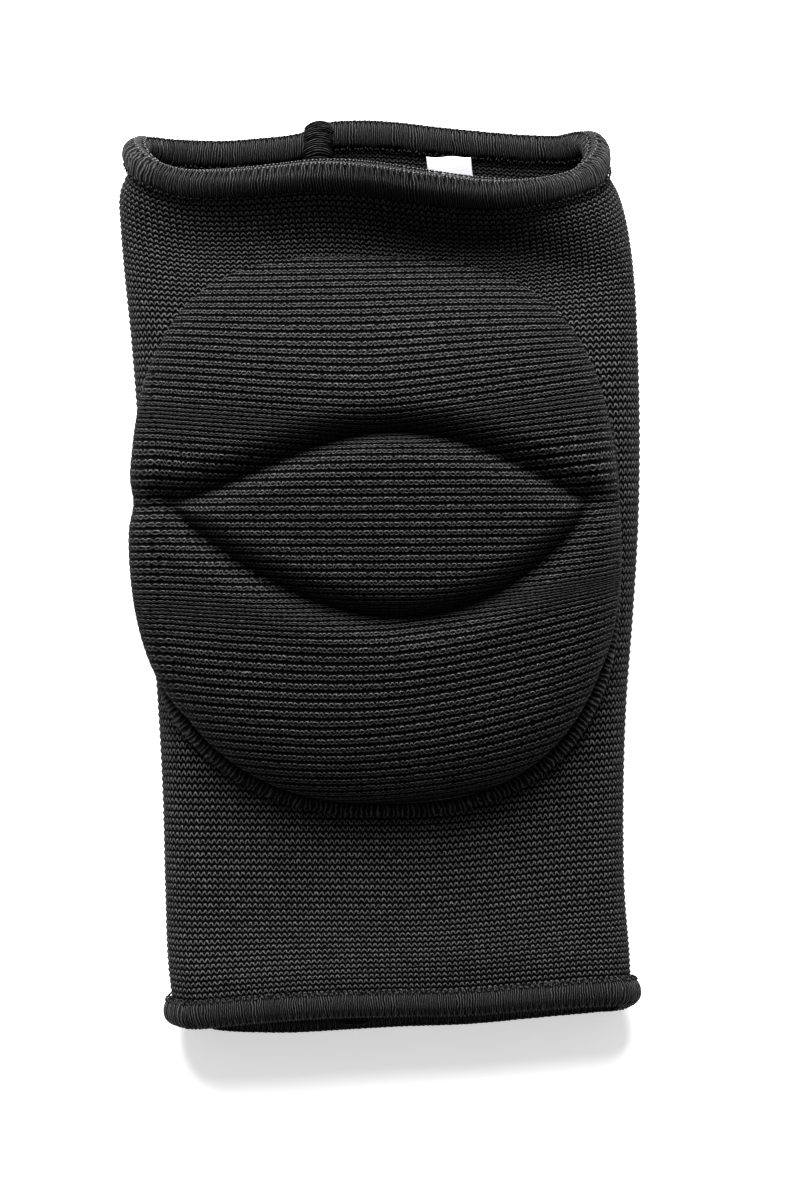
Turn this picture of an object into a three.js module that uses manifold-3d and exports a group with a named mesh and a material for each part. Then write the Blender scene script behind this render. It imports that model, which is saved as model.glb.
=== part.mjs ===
// Volleyball knee pad, lying on its back as it is stored: a knitted elastic tube for the leg, an
// overcast band round each end, and a thick moulded foam pad under a ribbed knit cover on the front.
// The pad has an eye-shaped panel over the kneecap, set off by two sewn-in creases, and an overlocked
// ridge where its lower edge is sewn to the tube. Inside lie the tube's back seam and a blank tab.
//
// Millimetres. X is across the leg, +Y runs from the calf end to the thigh end, and +Z is up, from
// the back of the knee to the front. The origin is the bottom centre of the whole object's box.

import * as THREE from 'three';
import { mergeVertices } from 'three/addons/utils/BufferGeometryUtils.js';
import Module from 'manifold-3d';

// The knitted tube
const TUBE_LENGTH = 240.5;
const TUBE_WIDTH = 133;
const TUBE_HEIGHT = 33.5;
const TUBE_SIDE_RADIUS = 13;
const TUBE_LEAN = 9; // how far the tube's centre line wanders across, from calf to thigh
const KNIT_THICKNESS = 2;
const CLEARANCE = 0.3; // between pieces that are sewn together

// The overcast bands
const THIGH_BAND_WIDTH = 8;
const CALF_BAND_WIDTH = 8.5;
const BAND_SKIN = 1.2; // thickness of the thread that wraps the edge
const BAND_SLANT = 0.2; // share of a band's width that the slope of the front wall takes up
const RIM_DROP = 20; // how far the rims' waves reach back from the tube's two ends
const BACK_WAVE = 0.28; // share of RIM_DROP that the rims take at the back
const BACK_SETTLE = 20; // length over which the back wall comes down from a band to the ground

// The foam pad and its cover
const PAD_LENGTH = 141;
const PAD_ARC_WIDTH = 123.5; // measured round the tube
const PAD_CENTRE_Y = 132.4; // from the calf end
const PAD_CENTRE_ARC = -3.75; // round the tube, from its front centre line
const PAD_THICKNESS = 18;
const PAD_SIDE_THICKNESS = 11;
const PAD_EDGE = 3; // height of the cover's upright edge
const PAD_END_ROLL = 30; // length over which the top and bottom edges round over
const PAD_SIDE_ROLL = 9;

// The panel over the kneecap and its creases
const PANEL_ARC_WIDTH = 105;
const PANEL_CENTRE_ARC = -3.6;
const PANEL_TIP_Y = 139.5; // from the calf end
const PANEL_RISE = 17; // from the tips up to the upper crease
const PANEL_FALL = 28.5; // from the tips down to the lower crease
const CREASE_DEPTH = 9.5;
const CREASE_REACH = 13.5; // how far the pad falls away to each side of a crease

// The overlocked ridge round the pad's lower edge
const RIDGE_WIDTH = 3.6;
const RIDGE_HEIGHT = 2.6;

// The back seam and the tab inside the tube
const SEAM_TURN = 0.952; // place round the tube, as a share of a turn from the back's centre line
const SEAM_WIDTH = 6;
const SEAM_THICKNESS = 2.4;
const TAB_WIDTH = 11.7;
const TAB_LENGTH = 24;
const TAB_THICKNESS = 1;
const TAB_TURN = 0.078;

// How finely the curved walls are cut into flat faces
const TUBE_COLUMNS = 52;
const TUBE_ROWS = 22;
const PAD_SPOKES = 64;
const RIDGE_STEPS = 60;
const RIDGE_SIDES = 8;
const SEAM_STEPS = 22;

// Sections of the tube from the calf end (0) to the thigh end (1). centre is a share of TUBE_LEAN,
// the others are shares of TUBE_WIDTH, TUBE_HEIGHT and TUBE_SIDE_RADIUS.
const TUBE_SECTIONS = [
  { along: 0.0, centre: 0.11, width: 0.894, height: 0.66, side: 0.8 },
  { along: 0.08, centre: -0.03, width: 0.912, height: 0.65, side: 0.78 },
  { along: 0.16, centre: -0.15, width: 0.908, height: 0.66, side: 0.8 },
  { along: 0.26, centre: -0.2, width: 0.91, height: 0.7, side: 0.83 },
  { along: 0.36, centre: -0.23, width: 0.924, height: 0.83, side: 0.9 },
  { along: 0.46, centre: -0.23, width: 0.95, height: 0.95, side: 0.97 },
  { along: 0.56, centre: -0.24, width: 0.972, height: 1.0, side: 1.0 },
  { along: 0.66, centre: -0.32, width: 0.988, height: 1.0, side: 1.0 },
  { along: 0.76, centre: -0.46, width: 0.998, height: 0.97, side: 1.0 },
  { along: 0.83, centre: -0.61, width: 1.004, height: 0.92, side: 1.0 },
  { along: 0.88, centre: -0.76, width: 0.998, height: 0.9, side: 1.0 },
  { along: 0.915, centre: -0.9, width: 0.98, height: 1.0, side: 1.02 },
  { along: 0.945, centre: -0.97, width: 0.93, height: 1.07, side: 1.04 },
  { along: 1.0, centre: -1.0, width: 0.895, height: 1.09, side: 1.04 },
];

// How far each rim lies back from its end of the tube, as a share of RIM_DROP, at places round it:
// 0 is the middle of the back, 0.25 the right side, 0.5 the middle of the front, 0.75 the left side.
const THIGH_RIM = [
  { turn: 0, drop: 0 },
  { turn: 0.034, drop: 0.03 },
  { turn: 0.061, drop: 0.075 },
  { turn: 0.1, drop: 0.13 },
  { turn: 0.146, drop: 0.185 },
  { turn: 0.184, drop: 0.2 },
  { turn: 0.215, drop: 0.16 },
  { turn: 0.238, drop: 0.2 },
  { turn: 0.256, drop: 0.38 },
  { turn: 0.284, drop: 0.6 },
  { turn: 0.313, drop: 0.8 },
  { turn: 0.352, drop: 0.92 },
  { turn: 0.39, drop: 0.96 },
  { turn: 0.449, drop: 0.885 },
  { turn: 0.5, drop: 0.79 },
  { turn: 0.543, drop: 0.755 },
  { turn: 0.589, drop: 0.795 },
  { turn: 0.625, drop: 0.82 },
  { turn: 0.663, drop: 0.8 },
  { turn: 0.691, drop: 0.7 },
  { turn: 0.718, drop: 0.52 },
  { turn: 0.745, drop: 0.33 },
  { turn: 0.77, drop: 0.24 },
  { turn: 0.8, drop: 0.24 },
  { turn: 0.856, drop: 0.27 },
  { turn: 0.893, drop: 0.24 },
  { turn: 0.935, drop: 0.17 },
  { turn: 0.962, drop: 0.03 },
];
const CALF_RIM = [
  { turn: 0, drop: 0.08 },
  { turn: 0.064, drop: 0.11 },
  { turn: 0.132, drop: 0.19 },
  { turn: 0.199, drop: 0.27 },
  { turn: 0.225, drop: 0.3 },
  { turn: 0.255, drop: 0.4 },
  { turn: 0.306, drop: 0.42 },
  { turn: 0.368, drop: 0.37 },
  { turn: 0.436, drop: 0.31 },
  { turn: 0.502, drop: 0.3 },
  { turn: 0.585, drop: 0.275 },
  { turn: 0.657, drop: 0.2 },
  { turn: 0.71, drop: 0.13 },
  { turn: 0.745, drop: 0.14 },
  { turn: 0.78, drop: 0.1 },
  { turn: 0.82, drop: 0.02 },
  { turn: 0.86, drop: 0 },
  { turn: 0.89, drop: 0 },
  { turn: 0.951, drop: 0.045 },
];

// Sags and swells of the tube's front wall. across is a share of half TUBE_WIDTH and along a share of
// TUBE_LENGTH; reachX, reachY and lift are shares of TUBE_HEIGHT.
const FRONT_WAVES = [
  { across: 0.36, along: 0.872, reachX: 0.8, reachY: 0.3, lift: -0.2 },
  { across: -0.05, along: 0.885, reachX: 0.6, reachY: 0.25, lift: -0.1 },
  { across: -0.24, along: 0.94, reachX: 0.6, reachY: 0.35, lift: 0.05 },
  { across: -0.7, along: 0.89, reachX: 0.6, reachY: 0.4, lift: -0.07 },
  { across: 0.3, along: 0.02, reachX: 1.1, reachY: 0.5, lift: -0.06 },
  { across: -0.5, along: 0.03, reachX: 0.8, reachY: 0.5, lift: 0.04 },
];

// How square each quarter of the pad's outline is: 2 is an ellipse, more is squarer.
const PAD_CORNERS = { thighRight: 2.75, thighLeft: 2.55, calfLeft: 2.3, calfRight: 2.55 };

// The two creases. rise is from the tips, peak the place of the highest point as a share of the
// panel's half width, and left and right say how sharply the crease falls to its tips.
const CREASES = {
  upper: { rise: PANEL_RISE, peak: 0.1, left: 1.6, right: 1.1 },
  lower: { rise: -PANEL_FALL, peak: 0.12, left: 0.85, right: 0.7 },
};

// Tucks where the creases run out to the pad's sides. side is -1 for left and 1 for right; reach and
// depth are shares of CREASE_REACH and CREASE_DEPTH.
const TUCKS = [
  { side: -1, outward: 1.07, reachArc: 0.55, reachY: 0.33, depth: 0.34 },
  { side: 1, outward: 1.07, reachArc: 0.5, reachY: 0.3, depth: 0.3 },
];

const TURN = 2 * Math.PI;
const clamp = (x, low, high) => Math.min(high, Math.max(low, x));
const mix = (a, b, t) => a + (b - a) * t;
const ease = (t) => {
  const u = clamp(t, 0, 1);
  return u * u * (3 - 2 * u);
};

// A smooth value read between the rows of a table. A period makes the table run round.
function smooth(table, key, column, at, period = 0) {
  const last = table.length - 1;
  const row = (i) => {
    const k = period ? ((i % table.length) + table.length) % table.length : clamp(i, 0, last);
    return { at: table[k][key] + (period ? Math.floor(i / table.length) * period : 0), y: table[k][column] };
  };
  const x = period ? at - Math.floor(at / period) * period : clamp(at, table[0][key], table[last][key]);
  let i = table.findIndex((r) => r[key] > x) - 1;
  if (i < -1) i = period ? last : last - 1;
  const [p, a, b, n] = [row(i - 1), row(i), row(i + 1), row(i + 2)];
  const span = b.at - a.at;
  const t = (x - a.at) / span;
  const slopeA = b.at > p.at ? (b.y - p.y) / (b.at - p.at) : 0;
  const slopeB = n.at > a.at ? (n.y - a.y) / (n.at - a.at) : 0;
  const t2 = t * t;
  const t3 = t2 * t;
  return (
    (2 * t3 - 3 * t2 + 1) * a.y +
    (t3 - 2 * t2 + t) * span * slopeA +
    (3 * t2 - 2 * t3) * b.y +
    (t3 - t2) * span * slopeB
  );
}

// The tube's outer section at y: a flat back, two round sides and a shallow crown, tangent to each
// other. Lengths are measured along it from the middle of the back.
function sectionAt(y) {
  const along = y / TUBE_LENGTH;
  const read = (column) => smooth(TUBE_SECTIONS, 'along', column, along);
  const height = TUBE_HEIGHT * read('height');
  const radius = Math.min(TUBE_SIDE_RADIUS * read('side'), 0.46 * height);
  const flat = (TUBE_WIDTH * read('width')) / 2 - radius;
  const crown = (flat ** 2 + (height - radius) ** 2 - radius ** 2) / (2 * (height - 2 * radius));
  const tangent = Math.atan2(radius - (height - crown), flat);
  const side = radius * (Math.PI / 2 + tangent);
  const arch = crown * (Math.PI / 2 - tangent);
  return {
    centre: TUBE_LEAN * read('centre'),
    height,
    radius,
    flat,
    crown,
    tangent,
    side,
    arch,
    half: flat + side + arch,
  };
}

// The section's point and outward direction at a length round it, for lengths from 0 to its half.
function halfSection(section, length) {
  const { flat, radius, crown, tangent, side, height } = section;
  if (length < flat) return { x: length, z: 0 };
  if (length < flat + side) {
    const angle = (length - flat) / radius - Math.PI / 2;
    return { x: flat + radius * Math.cos(angle), z: radius + radius * Math.sin(angle) };
  }
  const angle = tangent + (length - flat - side) / crown;
  return { x: crown * Math.cos(angle), z: height - crown + crown * Math.sin(angle) };
}

// The back wall's height over the ground: the bands are thicker than the knit, so it rises to them.
function backLift(y) {
  const wave = BACK_WAVE * RIM_DROP;
  const inward = Math.min(y - CALF_BAND_WIDTH, TUBE_LENGTH - THIGH_BAND_WIDTH - y) - wave;
  return (BAND_SKIN + CLEARANCE) * ease(1 - inward / BACK_SETTLE);
}

function frontWave(x, y, share) {
  let lift = 0;
  for (const wave of FRONT_WAVES) {
    const dx = (x - (wave.across * TUBE_WIDTH) / 2) / (wave.reachX * TUBE_HEIGHT);
    const dy = (y - wave.along * TUBE_LENGTH) / (wave.reachY * TUBE_HEIGHT);
    lift += wave.lift * TUBE_HEIGHT * Math.exp(-dx * dx - dy * dy);
  }
  return lift * ease((share - 0.45) / 0.5);
}

// A point of the tube's outer surface. turn runs once round from the middle of the back, to the right.
function surfacePoint(turn, y) {
  const section = sectionAt(y);
  const t = turn - Math.floor(turn);
  const right = t <= 0.5;
  const p = halfSection(section, 2 * section.half * (right ? t : 1 - t));
  const x = section.centre + (right ? p.x : -p.x);
  const z = backLift(y) + p.z + frontWave(x, y, p.z / section.height);
  return new THREE.Vector3(x, y, z);
}

// The same surface, raised along its outward direction.
const STEP_TURN = 1e-3;
const STEP_Y = 0.2;
function raisedPoint(turn, y, raise) {
  const round = surfacePoint(turn + STEP_TURN, y).sub(surfacePoint(turn - STEP_TURN, y));
  const along = surfacePoint(turn, y + STEP_Y).sub(surfacePoint(turn, y - STEP_Y));
  return surfacePoint(turn, y).addScaledVector(along.cross(round).normalize(), raise);
}

// The rims: the outer edge of each band at a place round the tube.
const thighRim = (turn) => TUBE_LENGTH - RIM_DROP * smooth(THIGH_RIM, 'turn', 'drop', turn, 1);
const calfRim = (turn) => RIM_DROP * smooth(CALF_RIM, 'turn', 'drop', turn, 1);

// The knit's own ends, inside the bands.
const thighEdge = (turn) => thighRim(turn) - BAND_SKIN - CLEARANCE;
const calfEdge = (turn) => calfRim(turn) + BAND_SKIN + CLEARANCE;

// Builds a closed mesh from a grid of points. closedU and closedV join its ends; open ends in the
// second direction are capped by a fan.
function gridGeometry(columns, rows, closedRows, point) {
  const positions = [];
  for (let j = 0; j < rows; j += 1) {
    for (let i = 0; i < columns; i += 1) positions.push(...point(i, j).toArray());
  }
  const faces = [];
  const id = (i, j) => (j % rows) * columns + (i % columns);
  for (let j = 0; j < (closedRows ? rows : rows - 1); j += 1) {
    for (let i = 0; i < columns; i += 1) {
      faces.push(id(i, j), id(i + 1, j), id(i + 1, j + 1));
      faces.push(id(i, j), id(i + 1, j + 1), id(i, j + 1));
    }
  }
  if (!closedRows) {
    for (const [row, outward] of [[0, false], [rows - 1, true]]) {
      const middle = new THREE.Vector3();
      for (let i = 0; i < columns; i += 1) {
        middle.add(new THREE.Vector3().fromArray(positions, 3 * id(i, row)));
      }
      positions.push(...middle.divideScalar(columns).toArray());
      const hub = positions.length / 3 - 1;
      for (let i = 0; i < columns; i += 1) {
        faces.push(hub, ...(outward ? [id(i, row), id(i + 1, row)] : [id(i + 1, row), id(i, row)]));
      }
    }
  }
  const geometry = new THREE.BufferGeometry();
  geometry.setAttribute('position', new THREE.Float32BufferAttribute(positions, 3));
  geometry.setIndex(faces);
  return facingOut(geometry);
}

// Turns a closed mesh's faces over if they point in.
function facingOut(geometry) {
  const position = geometry.getAttribute('position');
  const index = geometry.getIndex();
  const [a, b, c] = [new THREE.Vector3(), new THREE.Vector3(), new THREE.Vector3()];
  let volume = 0;
  for (let k = 0; k < index.count; k += 3) {
    a.fromBufferAttribute(position, index.getX(k));
    b.fromBufferAttribute(position, index.getX(k + 1));
    c.fromBufferAttribute(position, index.getX(k + 2));
    volume += a.dot(b.cross(c));
  }
  if (volume < 0) {
    for (let k = 0; k < index.count; k += 3) {
      const second = index.getX(k + 1);
      index.setX(k + 1, index.getX(k + 2));
      index.setX(k + 2, second);
    }
  }
  return geometry;
}

// The y of one of the tube's rows: its first and last rows of faces lie inside the bands.
function rowY(turn, row) {
  if (row === 0) return calfEdge(turn);
  if (row === TUBE_ROWS) return thighEdge(turn);
  const low = calfRim(turn) + bandReach(turn, CALF_BAND_WIDTH);
  const high = thighRim(turn) - bandReach(turn, THIGH_BAND_WIDTH);
  return mix(low, high, (row - 1) / (TUBE_ROWS - 2));
}

// The knitted tube: an outer wall, an inner wall one knit thickness inside it, and open ends.
function tubeGeometry() {
  const walls = 2 * (TUBE_ROWS + 1);
  return gridGeometry(TUBE_COLUMNS, walls, true, (i, j) => {
    const turn = i / TUBE_COLUMNS;
    const inner = j > TUBE_ROWS;
    const row = inner ? walls - 1 - j : j;
    return raisedPoint(turn, rowY(turn, row), inner ? -KNIT_THICKNESS : 0);
  });
}

// The tube's outer shape as a filled solid, raised by a clearance, to cut what lies on it.
function tubeEnvelope(raise) {
  return gridGeometry(TUBE_COLUMNS, TUBE_ROWS + 1, false, (i, j) => {
    const turn = i / TUBE_COLUMNS;
    return raisedPoint(turn, rowY(turn, j), raise);
  });
}

// How far a band reaches along the tube from its rim, at a place round it.
const bandReach = (turn, width) => width * (1 - (BAND_SLANT * (1 - Math.cos(TURN * turn))) / 2);

// A band's section, as (inward from the rim, height over the knit's outer face) pairs: it wraps the
// knit's edge with a clearance all round.
function bandSection(width) {
  const outer = CLEARANCE + BAND_SKIN;
  const inner = -KNIT_THICKNESS - outer;
  const middle = -KNIT_THICKNESS / 2;
  const edge = BAND_SKIN;
  return [
    { inward: width, over: CLEARANCE },
    { inward: width, over: mix(CLEARANCE, outer, 0.6) },
    { inward: width - BAND_SKIN, over: outer },
    { inward: 1.6 * BAND_SKIN, over: outer },
    { inward: 0.5 * BAND_SKIN, over: mix(middle, outer, 0.72) },
    { inward: 0, over: middle },
    { inward: 0.5 * BAND_SKIN, over: mix(middle, inner, 0.72) },
    { inward: 1.6 * BAND_SKIN, over: inner },
    { inward: width - BAND_SKIN, over: inner },
    { inward: width, over: mix(-KNIT_THICKNESS - CLEARANCE, inner, 0.6) },
    { inward: width, over: -KNIT_THICKNESS - CLEARANCE },
    { inward: edge, over: -KNIT_THICKNESS - CLEARANCE },
    { inward: edge, over: CLEARANCE },
  ];
}

function bandGeometry(rim, direction, width) {
  const rows = bandSection(width).length;
  return gridGeometry(TUBE_COLUMNS, rows, true, (i, j) => {
    const turn = i / TUBE_COLUMNS;
    const { inward, over } = bandSection(bandReach(turn, width))[direction > 0 ? rows - 1 - j : j];
    return raisedPoint(turn, rim(turn) - direction * inward, over);
  });
}

// A place on the pad: arc is measured round the tube from its front centre line, to the right.
function padPoint(arc, y, raise) {
  return raisedPoint(0.5 - arc / (2 * sectionAt(y).half), y, raise);
}

const signedPower = (x, power) => Math.sign(x) * Math.abs(x) ** power;

function cornerPower(arc, y) {
  const [right, thigh] = [arc > 0, y > 0];
  if (thigh) return right ? PAD_CORNERS.thighRight : PAD_CORNERS.thighLeft;
  return right ? PAD_CORNERS.calfRight : PAD_CORNERS.calfLeft;
}

// The pad's outline at an angle round its centre, grown outward by a margin.
function padOutline(angle, margin = 0) {
  const [c, s] = [Math.cos(angle), Math.sin(angle)];
  const power = 2 / cornerPower(c, s);
  return {
    arc: PAD_CENTRE_ARC + (PAD_ARC_WIDTH / 2 + margin) * signedPower(c, power),
    y: PAD_CENTRE_Y + (PAD_LENGTH / 2 + margin) * signedPower(s, power),
  };
}

// How far out a place is between the pad's centre (0) and its outline (1).
function padReach(arc, y) {
  const a = (arc - PAD_CENTRE_ARC) / (PAD_ARC_WIDTH / 2);
  const b = (y - PAD_CENTRE_Y) / (PAD_LENGTH / 2);
  const power = cornerPower(a, b);
  return (Math.abs(a) ** power + Math.abs(b) ** power) ** (1 / power);
}

// A crease's y at a place across the panel, from -1 at its left tip to 1 at its right tip.
function creaseY(crease, across) {
  const a = clamp(across, -1, 1);
  const [far, power] = a < crease.peak ? [1 + crease.peak, crease.left] : [1 - crease.peak, crease.right];
  const fall = Math.cos((Math.PI / 2) * Math.min(1, Math.abs(a - crease.peak) / far));
  return PANEL_TIP_Y + crease.rise * fall ** power;
}

const panelAcross = (arc) => (arc - PANEL_CENTRE_ARC) / (PANEL_ARC_WIDTH / 2);

// How far the pad is drawn in at a place by one crease.
function creaseDepth(crease, arc, y) {
  const across = panelAcross(arc);
  const slopeStep = 0.01;
  const rise = creaseY(crease, across + slopeStep) - creaseY(crease, across - slopeStep);
  const slope = rise / (slopeStep * PANEL_ARC_WIDTH);
  const past = Math.max(0, Math.abs(across) - 1) * (PANEL_ARC_WIDTH / 2);
  const off = (y - creaseY(crease, across)) / Math.hypot(1, slope);
  const away = Math.hypot(off, 1.6 * past) / CREASE_REACH;
  const fade = mix(0.55, 1, Math.cos((Math.PI / 2) * clamp(Math.abs(across), 0, 1)) ** 0.6);
  return CREASE_DEPTH * fade * Math.max(0, 1 - away) ** 1.8;
}

function tuckDepth(arc, y) {
  let depth = 0;
  for (const tuck of TUCKS) {
    const centre = PANEL_CENTRE_ARC + (tuck.side * tuck.outward * PANEL_ARC_WIDTH) / 2;
    const da = (arc - centre) / (tuck.reachArc * CREASE_REACH);
    const dy = (y - PANEL_TIP_Y) / (tuck.reachY * CREASE_REACH);
    depth += tuck.depth * CREASE_DEPTH * Math.exp(-da * da - dy * dy);
  }
  return depth;
}

// The pad's thickness over the knit, from the clearance to the cover's outer face.
function padThickness(arc, y) {
  const a = (arc - PAD_CENTRE_ARC) / (PAD_ARC_WIDTH / 2);
  const b = (y - PAD_CENTRE_Y) / (PAD_LENGTH / 2);
  const full = mix(PAD_THICKNESS, PAD_SIDE_THICKNESS, Math.min(1, Math.abs(a)) ** 2.5);
  const endward = Math.abs(b) / Math.max(1e-6, Math.hypot(a, b));
  const roll = mix(PAD_SIDE_ROLL, PAD_END_ROLL, endward ** 2);
  const radius = Math.hypot(a * PAD_ARC_WIDTH, b * PAD_LENGTH) / 2;
  const reach = padReach(arc, y);
  const inside = reach > 0 ? (radius / reach) * (1 - reach) : roll;
  const over = 1 - clamp(inside / roll, 0, 1);
  const domed = mix(PAD_EDGE, full, Math.sqrt(1 - over ** 2));
  const creases = Math.max(creaseDepth(CREASES.upper, arc, y), creaseDepth(CREASES.lower, arc, y));
  const drawn = (creases + tuckDepth(arc, y)) * clamp((domed - PAD_EDGE) / (0.6 * full), 0, 1);
  return Math.max(PAD_EDGE, domed - drawn);
}

// Rings of the pad's cover: through the panel to the creases, then out to the pad's edge.
const PANEL_RINGS = [0.22, 0.45, 0.65, 0.82, 0.93, 1];
const BOLSTER_RINGS = [0.09, 0.22, 0.4, 0.58, 0.74, 0.86, 0.94, 0.985, 1];
const PAD_ROOT = -2.5; // how far the uncut pad reaches below the knit's outer face
const SPOKE_CROWDING = 0.25; // brings the rings' points closer together at the panel's two tips

// The pad before the tube is cut out of it, grown by a margin on its outside.
function padBlank(margin) {
  const rings = [
    ...PANEL_RINGS.map((panel) => ({ panel, bolster: 0 })),
    ...BOLSTER_RINGS.map((bolster) => ({ panel: 1, bolster })),
    { panel: 1, bolster: 1, root: true },
    { panel: 1, bolster: 0.5, root: true },
    { panel: 1, bolster: 0, root: true },
    { panel: 0.5, bolster: 0, root: true },
  ];
  return gridGeometry(PAD_SPOKES, rings.length, false, (i, j) => {
    const even = (TURN * (i + 0.5)) / PAD_SPOKES;
    const angle = even - SPOKE_CROWDING * Math.sin(2 * even);
    const { panel, bolster, root } = rings[j];
    const across = panel * Math.cos(angle);
    const crease = Math.sin(angle) > 0 ? CREASES.upper : CREASES.lower;
    const middle = mix(creaseY(CREASES.upper, across), creaseY(CREASES.lower, across), 0.5);
    const upward = (panel * Math.abs(Math.sin(angle))) / Math.sqrt(1 - across ** 2);
    const inArc = PANEL_CENTRE_ARC + (across * PANEL_ARC_WIDTH) / 2;
    const inY = mix(middle, creaseY(crease, across), upward);
    const out = padOutline(angle, margin);
    const [arc, y] = [mix(inArc, out.arc, bolster), mix(inY, out.y, bolster)];
    return padPoint(arc, y, root ? PAD_ROOT : CLEARANCE + padThickness(arc, y) + margin);
  });
}

// The ridge runs round the pad's lower edge, from its left side to its right, and thins out upward.
const RIDGE_START = 0.46 * TURN;
const RIDGE_END = 1.04 * TURN;
function ridgeGeometry() {
  return gridGeometry(RIDGE_SIDES, RIDGE_STEPS + 1, false, (i, j) => {
    const share = j / RIDGE_STEPS;
    const angle = mix(RIDGE_START, RIDGE_END, share);
    const full = mix(0.35, 1, ease(Math.min(share, 1 - share) / 0.3));
    const [wide, high] = [(full * RIDGE_WIDTH) / 2, (full * RIDGE_HEIGHT) / 2];
    const round = (TURN * (i + 0.5)) / RIDGE_SIDES;
    const at = padOutline(angle, CLEARANCE + wide * (1 + Math.cos(round)));
    return padPoint(at.arc, at.y, CLEARANCE + high * (1 + Math.sin(round)));
  });
}

// A strip that lies on the inside of the back wall. Its stops give how far its near face stands off
// the knit's inner face at places along it.
function stripGeometry(turn, width, thickness, stops) {
  const corners = [
    { across: -0.5, up: 0 },
    { across: 0.5, up: 0 },
    { across: 0.5, up: 0.55 },
    { across: 0.3, up: 1 },
    { across: -0.3, up: 1 },
    { across: -0.5, up: 0.55 },
  ];
  return gridGeometry(corners.length, stops.length, false, (i, j) => {
    const { y, off } = stops[j];
    const there = turn + (corners[i].across * width) / (2 * sectionAt(y).half);
    return raisedPoint(there, y, -KNIT_THICKNESS - off - corners[i].up * thickness);
  });
}

// The back seam runs over the inner faces of both bands, almost to their rims.
function seamGeometry() {
  const [low, high] = [calfRim(SEAM_TURN), thighRim(SEAM_TURN)];
  const overBand = BAND_SKIN + 2 * CLEARANCE;
  const climb = 2 * SEAM_THICKNESS;
  const [lowBand, highBand] = [low + CALF_BAND_WIDTH, high - THIGH_BAND_WIDTH];
  const stops = [
    { y: low + BAND_SKIN, off: overBand },
    { y: lowBand + CLEARANCE, off: overBand },
  ];
  for (let k = 0; k <= SEAM_STEPS; k += 1) {
    stops.push({ y: mix(lowBand + climb, highBand - climb, k / SEAM_STEPS), off: CLEARANCE });
  }
  stops.push({ y: highBand - CLEARANCE, off: overBand }, { y: high - BAND_SKIN / 2, off: overBand });
  return stripGeometry(SEAM_TURN, SEAM_WIDTH, SEAM_THICKNESS, stops);
}

// The tab is sewn on just below the thigh band.
function tabGeometry() {
  const side = TAB_WIDTH / (4 * sectionAt(TUBE_LENGTH - THIGH_BAND_WIDTH).half);
  const rim = Math.min(thighRim(TAB_TURN - side), thighRim(TAB_TURN + side));
  const top = rim - THIGH_BAND_WIDTH - 2 * CLEARANCE;
  const stops = [0, 0.25, 0.5, 0.75, 1].map((share) => ({
    y: top - TAB_LENGTH * (1 - share),
    off: CLEARANCE,
  }));
  return stripGeometry(TAB_TURN, TAB_WIDTH, TAB_THICKNESS, stops);
}

const wasm = await Module();
wasm.setup();

function toSolid(geometry) {
  const bare = geometry.clone();
  for (const name of Object.keys(bare.attributes)) {
    if (name !== 'position') bare.deleteAttribute(name);
  }
  const merged = mergeVertices(bare, 1e-4);
  return new wasm.Manifold(
    new wasm.Mesh({
      numProp: 3,
      vertProperties: merged.attributes.position.array,
      triVerts: new Uint32Array(merged.index.array),
    }),
  );
}

function toGeometry(solid) {
  const mesh = solid.getMesh();
  const geometry = new THREE.BufferGeometry();
  geometry.setAttribute('position', new THREE.BufferAttribute(mesh.vertProperties, 3));
  geometry.setIndex(new THREE.BufferAttribute(mesh.triVerts, 1));
  return geometry;
}

const knit = new THREE.MeshStandardMaterial({ color: 0x2b2b2c, roughness: 0.9, metalness: 0 });
const ribbedKnit = new THREE.MeshStandardMaterial({ color: 0x303031, roughness: 0.88, metalness: 0 });
const thread = new THREE.MeshStandardMaterial({ color: 0x222223, roughness: 0.8, metalness: 0 });
const whiteTape = new THREE.MeshStandardMaterial({ color: 0xf1f1f0, roughness: 0.7, metalness: 0 });

function piece(name, geometry, material) {
  const mesh = new THREE.Mesh(geometry, material);
  mesh.name = name;
  return mesh;
}

const cut = toSolid(padBlank(0)).subtract(toSolid(tubeEnvelope(CLEARANCE)));

const kneePad = new THREE.Group();
kneePad.add(
  piece('sleeve', tubeGeometry(), knit),
  piece('thigh_band', bandGeometry(thighRim, 1, THIGH_BAND_WIDTH), thread),
  piece('calf_band', bandGeometry(calfRim, -1, CALF_BAND_WIDTH), thread),
  piece('knee_cushion', toGeometry(cut), ribbedKnit),
  piece('cushion_edge_ridge', ridgeGeometry(), thread),
  piece('back_seam', seamGeometry(), thread),
  piece('inner_tab', tabGeometry(), whiteTape),
);

// The object's own frame has its origin at the bottom centre of its box.
const box = new THREE.Box3().setFromObject(kneePad);
const centre = box.getCenter(new THREE.Vector3());
for (const mesh of kneePad.children) mesh.position.set(-centre.x, -centre.y, -box.min.z);

export default kneePad;
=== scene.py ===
"""Looks for the knee pad: a knitted tube with overcast bands and a thick pad under a ribbed cover.

The shapes repeat the part's own construction. They are worked out in millimetres, with y running from
the calf end to the thigh end, and placed in the frame in metres. A place round the tube is its turn:
0 is the middle of the back, 0.25 the right side, 0.5 the middle of the front and 0.75 the left side.
"""

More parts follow.
